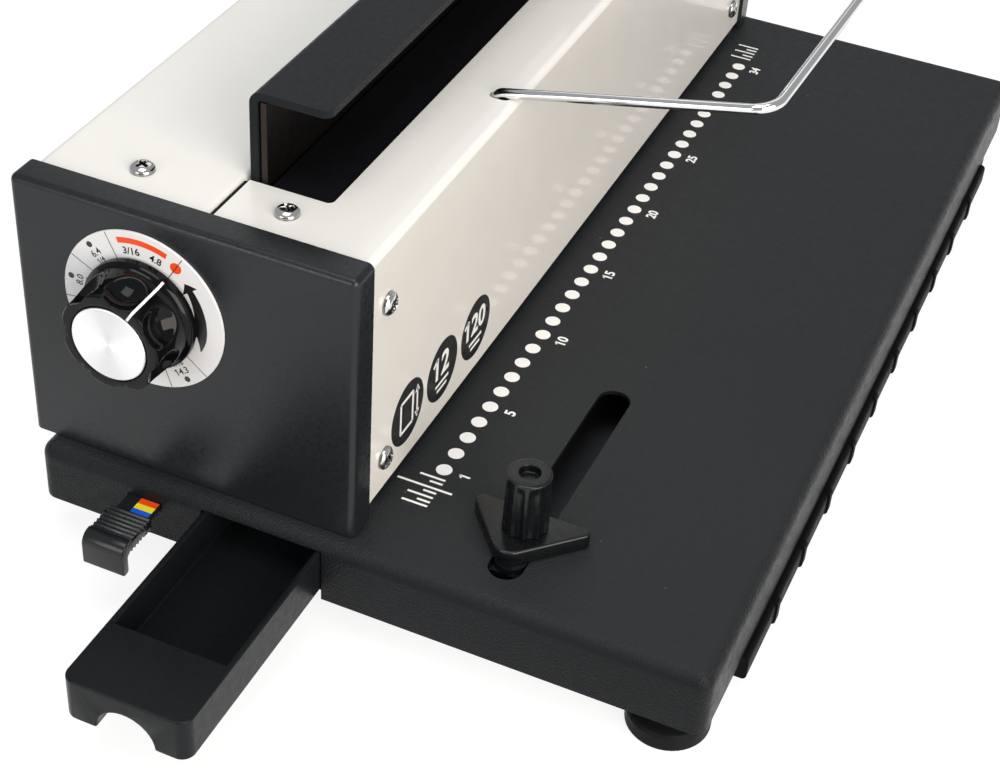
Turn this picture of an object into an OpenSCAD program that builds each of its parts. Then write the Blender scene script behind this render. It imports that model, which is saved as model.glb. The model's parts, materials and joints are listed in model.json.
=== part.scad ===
// Wire binding machine: a hand lever drives a beam that carries the punch pins and the closing bar.
// Millimetres, +Z up, front at -Y, +X to the right. In the machine frame x = 0 is the middle of the
// hole row, y = 0 the front cover's face and z = 0 the base's top. Every module is drawn through
// seat(), which moves the machine frame so that the origin is under the middle of the whole object.

/* [Hole row] */
// Number of punched holes
hole_count = 34; // [24:1:40]
// Distance from hole to hole
hole_pitch = 8.4667; // [7:0.0001:10]
// Distance of the hole row behind the front cover's face
punch_y = 25.6; // [24:0.2:28]
// Radius of a punch pin
punch_r = 2; // [1.5:0.1:2.5]
// Radial clearance of a punch pin in the guide and in the die
punch_play = 0.1; // [0.05:0.01:0.2]

/* [Base] */
// Ledge of the base outside each end cap
base_ledge = 6; // [4:0.5:12]
// Reach of the base in front of the front cover
base_front = 112.6; // [95:0.2:140]
// Reach of the base behind the front cover's face
base_back = 101.6; // [94:0.2:112]
// Height of the base's walls
base_h = 21.6; // [20.6:0.2:30]
// Sheet thickness of the base
base_t = 1.5; // [1:0.1:2]
// Radius of the base's bent edges
base_r = 4.5; // [3:0.5:7]
// Height by which the walls end higher behind the paper slot
base_step = 1.7; // [0.4:0.1:1.7]
// Thickness of the bottom plate
floor_t = 1.2; // [1:0.1:1.6]
// Height of the bottom plate's underside above the walls' lower edge
floor_up = 1.7; // [1.7:0.1:2]
// Clearance round the bottom plate
floor_play = 0.3; // [0.2:0.1:0.6]

/* [Feet and front strip] */
// Height of a foot below the base's walls
foot_h = 13; // [9:0.5:20]
// Radius of a foot's flange
foot_r = 12.5; // [9:0.5:14]
// Radius of a foot's neck
foot_neck_r = 8.5; // [7:0.5:10]
// Distance of a front foot's axis from the base's sides
foot_inset = 14; // [13:0.5:24]
// Distance of a rear foot's axis from the base's sides
rear_inset = 24; // [14:0.5:30]
// Radius of a foot screw
foot_screw_r = 2; // [1.5:0.1:2.5]
// Length of one segment of the ribbed front strip
strip_pitch = 27.5; // [20:0.5:30]
// Number of segments of the front strip
strip_count = 11; // [5:1:12]
// Reach of the front strip in front of the base
strip_proud = 2.2; // [1:0.2:5]
// Depth of the front strip
strip_d = 8; // [5:0.5:12]
// Height of the front strip
strip_h = 8.4; // [5:0.2:9]
// Width of a rib on the front strip
rib_w = 3; // [2:0.5:6]
// Height of a rib on the front strip
rib_up = 0.7; // [0.3:0.1:1.2]

/* [Covers and end caps] */
// Length of the covers beyond the last hole at each end
end_margin = 30; // [28:0.5:40]
// Height of the covers' top above the base
body_top = 89; // [86:0.5:100]
// Depth of the body, from the front cover's face to the back cover's
body_d = 104.6; // [100:0.2:110]
// Sheet thickness of the covers
cover_t = 1.2; // [0.8:0.1:1.5]
// Outer radius of the covers' bends
cover_r = 2.2; // [2:0.1:3]
// Height of the paper slot under the front cover
slot_h = 3.3; // [2.4:0.1:4]
// Distance of the front cover's rear edge from its face
seam_y = 48.2; // [47:0.2:50]
// Gap between the front cover's rear edge and the back cover
seam_gap = 1.3; // [1.2:0.1:2]
// Depth of the rolled lip on the back cover's front edge
lip_h = 2.6; // [2:0.1:3]
// Distance of the closing recess's front edge from the cover's face
notch_y = 22.6; // [20:0.2:24]
// Length of the recess beyond the last hole at each end
notch_over = 8.5; // [6:0.5:10]
// Corner radius of the recess
notch_r = 2; // [1:0.5:3]
// Width of an end cap's flange
cap_w = 10; // [8:0.5:14]
// Sheet thickness of an end cap
cap_t = 1.5; // [1.2:0.1:2]
// Length of a cover's end tucked under an end cap's flange
cover_tuck = 6; // [4:0.5:7]
// Edge radius of an end cap
cap_r = 2.2; // [1.8:0.1:4]
// Gap between an end cap and the base
cap_lift = 0.5; // [0.4:0.1:3]

/* [Frame] */
// Distance of a side frame's outer face inside the covers' visible end
frame_set = 3; // [2.5:0.5:4]
// Thickness of a side frame
frame_t = 4; // [3:0.5:5]
// Thickness of a side frame's flanges
flange_t = 2.6; // [2:0.2:3]
// Reach of a side frame's flanges towards the middle
flange_w = 14; // [12:0.5:15]
// Thickness of the closing bed
bed_t = 3.8; // [3:0.2:5]
// Distance of the closing bed's front edge from the cover's face
bed_y = 4; // [4:0.2:4.8]
// Thickness of the die plate
die_t = 3; // [2.6:0.1:3]
// Half depth of the die plate's raised part
die_half = 10; // [8:0.5:12]
// Width of the die plate's ledge under the base
die_ledge = 3; // [2:0.5:4]
// Clearance round the die plate in its window
die_play = 0.2; // [0.1:0.05:0.4]
// Height of the paper passage over the die plate
pass_h = 1.8; // [1.6:0.1:2.4]
// Height of the punch guide block
guide_h = 19; // [15:0.5:19.5]
// Half depth of the punch guide block
guide_half = 10; // [8:0.5:12]
// Distance of a beam post beyond the last hole
post_over = 13; // [12:0.5:14]
// Radius of a beam post
post_r = 4; // [3:0.5:5]
// Radius of a cover screw
screw_r = 2; // [1.5:0.1:2.2]
// Radius of a cover screw's head
screw_head_r = 3.6; // [3:0.1:4.5]
// Distance of the cover screws from the covers' visible end
screw_in = 11.5; // [9:0.5:13]
// Height of the lower front screw
screw_low = 14.5; // [10:0.5:30]
// Height of the upper front screw
screw_high = 70; // [50:0.5:76]
// Distance of the front top screw from the cover's face
screw_front = 31; // [20:0.5:40]
// Distance of the rear top screw from the cover's face
screw_rear = 76.5; // [66:0.5:90]

/* [Beam and closing bar] */
// Half depth of the punch beam
beam_half = 7; // [5:0.5:8]
// Height of the punch beam
beam_h = 16; // [12:0.5:18]
// Clearance between the beam and the punch guide at the end of the stroke
beam_land = 1; // [0.5:0.1:2]
// Gap between the beam's end and the side frame
beam_gap = 3; // [1:0.5:4]
// Length of a pin inside the beam
pin_hold = 12; // [8:0.5:14]
// Depth to which a pin passes the base's top at the end of the stroke
pin_through = 3.4; // [2:0.1:3.4]
// Height of the closing bar's top above the base
bar_top = 117; // [112:0.5:122]
// Sheet thickness of the closing bar
bar_t = 2.5; // [2:0.1:3.2]
// Outer radius of the closing bar's bend
bar_r = 4; // [3.6:0.2:6]
// Depth of the closing bar's flange
bar_w = 24.6; // [20:0.2:25]
// Running gap round the closing bar
bar_play = 1; // [0.6:0.1:1.2]
// Corner radius of the closing bar's flange
bar_corner = 3; // [1:0.5:5]
// Thickness of the steel plate inside the closing bar
backing_t = 2.2; // [1.6:0.1:3]
// Gap between the steel plate and the closing bar
backing_gap = 0.6; // [0.4:0.1:0.9]
// Width of a bar bracket
bracket_w = 20; // [12:1:30]
// Distance of the outer brackets from the middle
bracket_x = 105; // [80:1:112]
// Smallest wire that the closing bar shuts
wire_min = 4.8; // [3.2:0.1:6]
// Wire sizes on the dial after the punching position
wire_sizes = [6.4, 8, 9.5, 11.1, 12.7, 14.3];

/* [Drive and lever] */
// Module of the rack and pinion
gear_m = 1.5; // [1.5:0.05:1.6]
// Number of teeth on a pinion
gear_z = 18; // [17:1:19]
// Backlash along the pitch line
gear_play = 0.35; // [0.2:0.05:0.5]
// Width of a rack
rack_w = 12; // [8:0.5:14]
// Thickness of a rack behind its teeth
rack_t = 5; // [3:0.5:6]
// Width of a pinion
pinion_w = 10; // [6:0.5:14]
// Distance of a rack from the middle of the machine
rack_x = 129.7; // [124:0.1:131]
// Height of the drive shaft above the base
shaft_z = 35; // [33:0.5:36]
// Radius of the drive shaft
shaft_r = 6; // [5:0.5:7]
// Radial clearance of a shaft in its bush
shaft_play = 0.06; // [0.02:0.01:0.1]
// Wall of a shaft bush
bush_t = 3; // [2:0.5:4]
// Gap between the right end cap and the lever's hub
hub_gap = 1.5; // [0.5:0.1:4]
// Length of the lever's hub
hub_l = 18; // [16:0.5:26]
// Radius of the lever's hub
hub_r = 15; // [12:0.5:18]
// Radius of the lever's arm
arm_r = 6; // [4:0.5:7]
// Height of the lever's top above the drive shaft
lever_l = 225; // [180:1:280]
// Length of the lever's grip
grip_l = 115; // [90:1:130]
// Radius of the lever's grip at its middle
grip_r = 13; // [10:0.5:16]

/* [Size knob] */
// Distance of the knob's axis from the front cover's face
knob_y = 64.3; // [64:0.1:66]
// Height of the knob's axis above the base
knob_z = 59.2; // [58:0.1:60]
// Radius of the dial plate
dial_r = 25.5; // [20:0.5:28]
// Thickness of the dial plate
dial_t = 0.8; // [0.4:0.1:1.5]
// Radius of the knob's skirt
knob_r = 17.5; // [14:0.5:19]
// Radius of the knob at its face
knob_top_r = 15.4; // [13:0.1:16]
// Height of the knob
knob_h = 17; // [12:0.5:24]
// Height of the knob's skirt
knob_skirt = 3.4; // [2:0.2:5]
// Number of finger scallops round the knob
knob_scallops = 7; // [5:1:8]
// Radius of the ball that cuts a finger scallop
scallop_r = 8; // [6.5:0.5:9]
// Depth of a finger scallop where it is deepest
scallop_in = 3; // [1.5:0.1:3.2]
// Height of a finger scallop's deepest place over the knob's back
scallop_h = 12.5; // [12:0.1:14]
// Turn of the scallops from the middle of the pointer's lobe, in degrees
scallop_turn = -5; // [-10:1:10]
// Radius of the metal face on the knob
face_r = 11.6; // [9:0.2:12]
// Radius of the knob's shaft
spindle_r = 4; // [3:0.5:5]
// Width of the stop cam
cam_w = 6; // [4:0.5:7]
// Radius of the stop cam in the punching position
cam_low_r = 8; // [7:0.5:9]
// Height of the stop lug's underside above the base, beam raised
lug_z = 80; // [79:0.5:80]
// Height of the stop lug
lug_h = 3.6; // [2.5:0.2:4]
// Depth of the stop lug
lug_d = 4; // [3:0.2:5]

/* [Margin slider] */
// Distance of the slider bar's front edge from the front cover's face
slider_y = 59.5; // [56:0.5:62]
// Width of the slider bar
slider_w = 10.7; // [10.5:0.1:12]
// Thickness of the slider bar
slider_t = 2.4; // [1.6:0.1:3]
// Height of the slider bar's middle below the base's top
slider_down = 8; // [6:0.5:10]
// Travel of the slider, as pulled out
slider_out = 6.5; // [5:0.1:7]
// Width of the slider's thumb piece
thumb_w = 13.8; // [12:0.2:16]
// Length of the thumb piece
thumb_l = 16; // [13:0.5:20]
// Thickness of the thumb piece
thumb_t = 4.6; // [4:0.2:6]
// Drop of the thumb piece's front lip
thumb_lip = 11.2; // [8:0.1:12]
// Clearance of the slider in its slots
slider_play = 0.4; // [0.3:0.05:0.6]
// Travel of the paper stop for each millimetre of the slider
stop_ratio = 0.5; // [0.4:0.05:0.55]
// Distance of the paper stop's edge behind the hole row, pulled out
stop_back = 6.2; // [6:0.1:7]
// Thickness of the paper stop
stop_t = 1.2; // [0.8:0.1:1.3]
// Radius of a paper stop pin
stop_pin_r = 2; // [1.5:0.1:2.2]
// Distance of the paper stop's arms from the middle
stop_arm_x = 100; // [60:1:110]
// Width of an arm of the paper stop
stop_arm_w = 12; // [8:0.5:18]

/* [Chip tray] */
// Reach of the pulled-out tray beyond the base's left side
tray_out = 73.5; // [20:0.5:100]
// Distance of the tray's front side wall from the front cover's face
tray_y = 6.3; // [5:0.1:7]
// Width of the tray
tray_w = 38.9; // [37:0.1:40]
// Length of the tray
tray_l = 338; // [300:1:345]
// Depth of the tray's top below the base's top
tray_down = 3.6; // [3.4:0.1:4]
// Clearance under and beside the tray
tray_play = 0.4; // [0.3:0.05:0.6]
// Wall of the tray
tray_t = 2; // [1.5:0.1:3]
// Length of the tray's closed pull block
pull_l = 24; // [16:0.5:30]
// Radius of the finger arch in the pull block
pull_r = 9; // [6:0.5:10]
// Corner radius of the pull block
pull_corner = 4; // [1:0.5:6]
// Depth of the finger arch
pull_in = 19; // [10:0.5:20]
// Thickness of a tray rail
rail_t = 2; // [1.5:0.1:3]
// Height of a tray rail
rail_h = 5; // [3:0.5:8]

/* [Edge guide] */
// Distance of the guide slot's axis in front of the front cover
guide_y = 44.8; // [38:0.2:60]
// Width of the guide slot
guide_slot_w = 10.4; // [8:0.2:12]
// Distance of the guide slot's near end from the base's left side
guide_slot_in = 11; // [9:0.5:20]
// Length of the guide slot
guide_slot_l = 95; // [60:1:160]
// Distance of the guide's stud from the slot's near end, as set
guide_set = 18.2; // [17:0.2:40]
// Clearance of the guide in its slot and over the base
guide_play = 0.3; // [0.2:0.05:0.5]
// Length of the guide's straight edge
guide_edge = 36; // [28:0.5:50]
// Distance of the straight edge from the stud
guide_reach = 7.3; // [7:0.1:12]
// Distance of the guide's rounded point from the stud
guide_point = 12.9; // [10:0.1:16]
// Offset of the rounded point towards the back
guide_skew = 1.2; // [0:0.1:3]
// Thickness of the guide plate
guide_t = 5; // [3:0.2:7]
// Corner radius of the guide plate's point
guide_r = 5.5; // [3:0.5:6]
// Corner radius at the ends of the straight edge
guide_corner_r = 2; // [1:0.5:3]
// Length of the guide's block in the slot
block_l = 24; // [16:0.5:30]
// Thickness of the guide's foot under the base
block_foot_t = 3; // [2:0.2:4]
// Reach of the guide's foot past the slot
block_foot = 3.4; // [2:0.2:5]
// Radius of the clamp knob's stud
stud_r = 2.5; // [2:0.1:3]
// Radius of the clamp knob at its top
clamp_r = 6.6; // [5:0.2:8]
// Radius of the clamp knob at its foot
clamp_foot_r = 7; // [6:0.2:9]
// Height of the clamp knob
clamp_h = 20; // [12:0.5:28]
// Number of flutes on the clamp knob
clamp_flutes = 10; // [6:1:16]
// Radius of a flute
flute_r = 2.4; // [1.6:0.1:3]

/* [Wire hanger] */
// Radius of the hanger's rod
rod_r = 1.6; // [1.4:0.1:2.2]
// Distance of the hanger's legs from the middle
leg_x = 71.8; // [40:0.2:110]
// Distance of the hanger's legs behind the front cover's face
rod_y = 7.3; // [7:0.1:9]
// Length of the rod below the cover
rod_in = 22; // [12:0.5:30]
// Rise angle of the hanger's legs
rod_rise = 12.4; // [12:0.1:25]
// Length of a leg from its first bend to the cross bar's axis
rod_l = 84.2; // [60:0.1:110]
// Radius of the bend at the cover
rod_bend = 3; // [2.6:0.1:3.4]
// Depth at which a leg starts to bend, below the cover's top
rod_sink = 1.7; // [0.8:0.1:1.8]
// Radius of the bends at the cross bar
rod_corner = 7; // [5:0.5:12]
// Lean of the cross bar: how much longer the right leg is for each millimetre across
rod_skew = 0.04; // [0:0.01:0.06]
// Clearance of the rod in the cover
rod_play = 0.4; // [0.2:0.1:0.8]

/* [Return springs] */
// Radius of a spring's coil
coil_r = 3.4; // [2.5:0.1:4]
// Radius of a spring's wire
wire_r = 0.5; // [0.4:0.05:0.6]
// Number of turns of a spring
coil_turns = 11; // [6:1:13]
// Radius of a spring peg on the beam
peg_r = 1.5; // [1:0.1:2]

/* [Hidden] */
$fn = 64;
hull_fn = 32;
groove_fn = 24;
eps = 0.01;
over = 1;

// Small clearances: a screw or rod in its thread or socket, a screw in a sheet's hole, a shaft in
// a sheet's hole, and the least gap between pieces that move
snug = 0.05;
hole_play = 0.2;
shaft_hole_play = 1.2;
run_gap = 0.3;

// Proportions of a pan-head screw's head
head_edge = 0.25;
head_high = 0.62;
small_head = 0.75;

// Lengths along the machine
row_half = (hole_count - 1) * hole_pitch / 2;
body_half = row_half + end_margin;
cap_face = body_half + cap_w;
base_half = cap_face + base_ledge;
notch_half = row_half + notch_over;
frame_out = body_half - frame_set;
frame_in = frame_out - frame_t;
flange_in = frame_in - flange_w + frame_t;
screw_x = body_half - screw_in;
post_x = row_half + post_over;
beam_x = frame_in - beam_gap;
bar_x = notch_half - bar_play;
cover_half = body_half + cover_tuck;
frame_screw_x = flange_in + flange_w / 2 - frame_t / 2;
frame_screw_y = [58, 90];
rear_flange = 16;

// Heights and depths of the fixed pieces
base_y = (base_back - base_front) / 2;
base_d = base_back + base_front;
floor_z = floor_up - base_h;
floor_top = floor_z + floor_t;
ground_z = -base_h - foot_h;
foot_seat = 5;
cover_z = body_top - cover_t;
bed_z = cover_z - bed_t;
pass_top = pass_h + guide_h;

// The stroke brings the closing bar's flange down to the smallest wire on the bed
stroke = bar_top - bar_t - cover_z - wire_min;
beam_z = pass_top + stroke + beam_land;
pin_z = stroke - pin_through;
bar_back = seam_y + seam_gap - bar_play;
backing_back = bar_back - bar_t - backing_gap;
backing_y = backing_back - backing_t;
beam_back = punch_y + beam_half;
bar_low = beam_z + beam_h / 4;
bracket_in = 2;
plate_in = 0.5;

// Rack and pinion
tooth_p = PI * gear_m;
gear_r = gear_m * gear_z / 2;
gear_tip = gear_m;
gear_root = 1.25 * gear_m;
gear_angle = 20;
pitch_y = bar_back + rack_t + gear_root;
shaft_y = pitch_y + gear_r;
lever_angle = stroke / gear_r * 180 / PI;
rack_low_teeth = 2;
rack_high_teeth = ceil(stroke / tooth_p) + rack_low_teeth;
involute_steps = 5;

// Lever
hub_x = cap_face + hub_gap;
lever_x = hub_x + hub_l / 2;
hub_wall = 2;
hub_socket = 8;
socket_wall = 2.6;
bush_collar = 1.8;
grip_taper = 2.5;
grip_rings = 5;
ring_r = 2.4;

// Size knob: the dial's sectors follow each other from the first wire size
knob_gap = 0.5;
knob_back = cap_face + dial_t + knob_gap;
knob_front = knob_back + knob_h;
knob_edge = 1.2;
knob_wall = 4;
face_in = 1;
dial_start = 58;
dial_first = 133.5;
dial_step = 34.2;
cam_x = post_x;
cam_dy = knob_y - bar_back - lug_d;
lug_angle = 19;
cam_steps = 8;
cam_first = lug_angle - dial_first + dial_start;
bar_open = bar_top - bar_t - cover_z;
function cam_rise(w) = lug_z - (bar_open - w) - knob_z;
function cam_radius(w) = norm([cam_dy, cam_rise(w)]);

// Margin slider
slider_mid = slider_y + slider_w / 2;
slider_end = stop_arm_x + stop_arm_w;
slider_top = -slider_down + slider_t / 2;
thumb_gap = 0.6;
thumb_back = base_half + slider_out + thumb_gap;
stop_travel = slider_out * stop_ratio;
stop_slope = atan(stop_ratio);
stop_y = punch_y + stop_back;
stop_lift = (pass_h - stop_t) / 2;
stop_bar_w = 8;
stop_pin_play = 0.15;
stop_slot_l = norm([slider_out, stop_travel]) + hole_play;
stop_pin_low = slider_top - slider_t - thumb_gap;
stop_pin_y = slider_y + slider_w / 2 + stop_travel / 2;

// Chip tray
tray_x = -base_half - tray_out;
tray_z = floor_top + tray_play;
tray_h = -tray_down - tray_z;
tray_mid = tray_y + tray_w / 2;

// Edge guide
slot_x = -base_half + guide_slot_in;
slot_r = guide_slot_w / 2;
stud_x = slot_x + guide_set;
block_in = 4;

// Return springs, between a peg on the beam and the closing bed
wire_sides = 6;
rings_per_turn = 8;
spring_gap = 0.1;
spring_y = punch_y - beam_half - run_gap - wire_r - coil_r;
spring_low = beam_z + beam_h / 2 + peg_r + wire_r + spring_gap;
spring_high = bed_z - wire_r - spring_gap;

// Wire hanger
rod_turn = 90 - rod_rise;
rod_y1 = rod_y - rod_bend + rod_bend * cos(rod_turn);
rod_z1 = body_top - rod_sink + rod_bend * sin(rod_turn);
rod_slot = 1.1 * (rod_y - rod_y1);
rise_dir = [0, -cos(rod_rise), sin(rod_rise)];
rise_normal = [0, sin(rod_rise), cos(rod_rise)];
rod_sides = 24;
bend_steps = 8;

// Reaches of the whole object and the origin under its middle
reach_left = -tray_x;
reach_right = lever_x + max(grip_r, hub_l / 2);
rod_reach = rod_l + 2 * rod_skew * leg_x;
reach_front = max(base_front + strip_proud + rib_up, rod_reach * cos(rod_rise) + rod_r - rod_y1);
reach_back = max(base_back, body_d + cap_t);
origin = [(reach_right - reach_left) / 2, (reach_back - reach_front) / 2, ground_z];

// Helpers

// Moves the machine frame so that the origin lies on the ground under the object's middle
module seat() {
    translate(-origin) children();
}

// Draws its children at both ends of the machine
module both_ends() {
    children();
    mirror([1, 0, 0]) children();
}

// Turns a flat YZ profile along +X, from x0
module along_x(x0, l) {
    translate([x0, 0, 0]) rotate([90, 0, 90]) linear_extrude(l) children();
}

// Box from one corner to the other
module span(a, b) {
    translate(a) cube(b - a);
}

// Cylinder along X from x0 to x1
module rod_x(x0, x1, r, y, z) {
    translate([x0, y, z]) rotate([0, 90, 0]) cylinder(r = r, h = x1 - x0);
}

// Rectangle with round corners, from its low corner
module round_rect(w, h, r) {
    translate([r, 0]) square([w - 2 * r, h]);
    translate([0, r]) square([w, h - 2 * r]);
    for (x = [r, w - r], y = [r, h - r]) translate([x, y]) circle(r);
}

// Waste outside a round corner that points towards +X and -Y
module corner_cut(r, h) {
    linear_extrude(h) difference() {
        translate([0, -r - over]) square(r + over);
        circle(r);
    }
}

// Slot with round ends, cut along Z
module slot_cut(l, r, h) {
    translate([-l / 2, -r, 0]) cube([l, 2 * r, h]);
    for (s = [-1, 1]) translate([s * l / 2, 0, 0]) cylinder(r = r, h = h);
}

// Corner post of a folded pan: upright, with a rounded top edge
module pan_post(r, h) {
    rotate_extrude($fn = hull_fn) {
        translate([0, -h]) square([r, h - r]);
        translate([0, -r]) intersection() {
            circle(r, $fn = hull_fn);
            square(r);
        }
    }
}

// Solid block with rounded upright and top edges, its top at z = 0
module soft_block(l, w, h, r) {
    hull() for (sx = [-1, 1], sy = [-1, 1])
        translate([sx * (l / 2 - r), sy * (w / 2 - r), 0]) pan_post(r, h);
}

// Folded pan that opens downwards
module pan(l, w, h, r, t) {
    difference() {
        soft_block(l, w, h, r);
        translate([0, 0, -t]) soft_block(l - 2 * t, w - 2 * t, h, r - t);
    }
}

// Sheet angle: a flange towards -Y and a leg towards -Z from its outer corner
module angle_profile(w, h, t, r) {
    translate([-w, -t]) square([w - r, t]);
    translate([-t, -h]) square([t, h - r]);
    translate([-r, -r]) difference() {
        intersection() {
            circle(r);
            square(r);
        }
        circle(r - t);
    }
}

// Pan-head screw along -Z: the head stands on z = 0
module pan_screw(r, head, l) {
    rotate_extrude() {
        translate([0, -l]) square([r, l]);
        square([head, head * head_edge]);
        intersection() {
            translate([0, head * head_edge]) circle(head);
            square([head, head * head_high]);
        }
    }
}

// Where the cover screws sit: on the top at two depths, on the front at two heights
module at_cover_screws(front = true, rear = true, face = true) {
    if (front) translate([screw_x, screw_front, body_top]) children();
    if (rear) translate([screw_x, screw_rear, body_top]) children();
    if (face) for (z = [screw_low, screw_high])
        translate([screw_x, 0, z]) rotate([90, 0, 0]) children();
}

// Hole pattern of the punches, cut along Z
module punch_row(r, z0, z1) {
    for (i = [0:hole_count - 1])
        translate([-row_half + i * hole_pitch, punch_y, z0]) cylinder(r = r, h = z1 - z0, $fn = groove_fn);
}

// Foot positions
module at_feet() {
    for (s = [-1, 1]) {
        translate([s * (base_half - foot_inset), -base_front + foot_inset, 0]) children();
        translate([s * (base_half - rear_inset), base_back - rear_inset, 0]) children();
    }
}

// Frame screw positions on the base
module at_frame_screws() {
    for (sx = [-1, 1], y = frame_screw_y)
        translate([sx * frame_screw_x, y, 0]) children();
}

// Involute of a base circle, at roll angle t
function involute(rb, t) = rb * [cos(t) + t * PI / 180 * sin(t), sin(t) - t * PI / 180 * cos(t)];
function turned(p, a) = [p[0] * cos(a) - p[1] * sin(a), p[0] * sin(a) + p[1] * cos(a)];
function flipped(p) = [p[0], -p[1]];
function roll_at(rb, r) = sqrt(pow(r / rb, 2) - 1) * 180 / PI;

// Pinion outline with a tooth gap on the rack's side
module pinion_profile() {
    rb = gear_r * cos(gear_angle);
    rt = gear_r + gear_tip;
    rr = gear_r - gear_root;
    pitch_point = involute(rb, roll_at(rb, gear_r));
    half = 90 / gear_z - gear_play / gear_r * 90 / PI;
    lean = half + atan2(pitch_point[1], pitch_point[0]);
    flank = [for (i = [0:involute_steps])
        turned(involute(rb, roll_at(rb, rt) * i / involute_steps), -lean)];
    foot = turned([rr, 0], -lean);
    side = concat([foot], flank);
    tooth = concat(side, [for (i = [len(side) - 1:-1:0]) flipped(side[i])]);
    circle(rr + eps);
    for (i = [0:gear_z - 1]) rotate((i + 0.5) * 360 / gear_z) polygon(tooth);
}

// Rack outline: its back on x = 0, teeth towards +X, a tooth at y = 0
module rack_profile() {
    low = -(rack_low_teeth + 0.5) * tooth_p;
    high = (rack_high_teeth + 0.5) * tooth_p;
    half = tooth_p / 4 - gear_play / 4;
    root = half + gear_root * tan(gear_angle);
    tip = half - gear_tip * tan(gear_angle);
    depth = gear_root + gear_tip;
    translate([0, low]) square([rack_t, high - low]);
    for (i = [-rack_low_teeth:rack_high_teeth]) translate([rack_t - eps, i * tooth_p])
        polygon([[0, -root], [depth + eps, -tip], [depth + eps, tip], [0, root]]);
}

// Ring of points round p in the plane of u and v, and a closed tube through a list of rings
function tube_ring(p, u, v, r, sides) =
    [for (j = [0:sides - 1]) p + r * (cos(j * 360 / sides) * u + sin(j * 360 / sides) * v)];

module tube(rings, sides) {
    last = len(rings) - 1;
    walls = [for (i = [0:last - 1], j = [0:sides - 1]) let (k = (j + 1) % sides, a = i * sides, b = a + sides)
        each [[a + j, a + k, b + k], [a + j, b + k, b + j]]];
    start = [for (j = [1:sides - 2]) [0, j + 1, j]];
    end = [for (j = [1:sides - 2]) last * sides * [1, 1, 1] + [0, j, j + 1]];
    polyhedron([for (ring = rings) each ring], concat(walls, start, end));
}

// Fixed pieces

module base_pan() {
    color("#232427") seat() difference() {
        translate([0, base_y, 0]) pan(2 * base_half, base_d, base_h, base_r, base_t);
        // Lower edge behind the paper slot
        span([-base_half - over, tray_y - tray_play, -base_h - over],
             [base_half + over, base_back + over, -base_h + base_step]);
        // Tray mouth
        span([-base_half - over, tray_y - tray_play, -base_h - over],
             [-base_half + base_r, tray_y + tray_w + tray_play, tray_z + tray_h + tray_play]);
        // Margin slider slot
        span([-base_half - over, slider_y - slider_play, slider_top - slider_t - slider_play],
             [-base_half + base_r, slider_y + slider_w + slider_play, slider_top + slider_play]);
        // Edge guide slot
        translate([slot_x + guide_slot_l / 2, -guide_y, -base_t - over])
            slot_cut(guide_slot_l - guide_slot_w, slot_r, base_t + 2 * over);
        // Die window
        span([-notch_half, punch_y - die_half, -base_t - over],
             [notch_half, punch_y + die_half, over]);
        // Slots for the paper stop's pins
        for (s = [-1, 1]) translate([s * stop_arm_x, stop_pin_y - stop_travel / 2, -base_t - over])
            rotate(90) slot_cut(stop_travel, stop_pin_r + slider_play, base_t + 2 * over);
        at_frame_screws() translate([0, 0, -base_t - over])
            cylinder(r = screw_r + hole_play, h = base_t + 2 * over);
    }
}

module bottom_plate() {
    color("#3a3b3e") seat() difference() {
        translate([-base_half + base_t + floor_play, -base_front + base_t + floor_play, floor_z])
            linear_extrude(floor_t) round_rect(2 * (base_half - base_t - floor_play),
                base_d - 2 * (base_t + floor_play), base_r - base_t);
        at_feet() translate([0, 0, floor_z - over])
            cylinder(r = foot_screw_r + hole_play / 2, h = floor_t + 2 * over);
    }
}

module rubber_feet() {
    foot_z = floor_z - ground_z;
    edge = 0.6;
    flange_top = foot_seat + 2 * edge;
    color("#1a1a1b") seat() at_feet() translate([0, 0, ground_z]) rotate_extrude() difference() {
        polygon([[0, 0], [foot_r - edge, 0], [foot_r, edge], [foot_r, foot_seat], [foot_r - edge, flange_top],
                 [foot_neck_r, flange_top + over], [foot_neck_r, foot_z], [0, foot_z]]);
        square([foot_screw_r + hole_play / 2, foot_z]);
        square([2 * foot_screw_r + shaft_hole_play, foot_seat]);
    }
}

module foot_screws() {
    color("silver") seat() at_feet() translate([0, 0, ground_z + foot_seat]) rotate([180, 0, 0])
        pan_screw(foot_screw_r, 2 * foot_screw_r, floor_top - ground_z - foot_seat + over);
}

module front_strip() {
    l = strip_count * strip_pitch;
    r = 1.6;
    y0 = -base_front - strip_proud;
    z0 = -base_h - strip_h;
    color("#0f0f10") seat() {
        along_x(-l / 2, l) translate([y0, z0]) round_rect(strip_d, strip_h, r);
        for (i = [1:strip_count - 1]) along_x(-l / 2 + i * strip_pitch - rib_w / 2, rib_w)
            translate([y0 - rib_up, z0 - rib_up])
                round_rect(strip_d + 2 * rib_up, strip_h + rib_up, r);
    }
}

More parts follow.
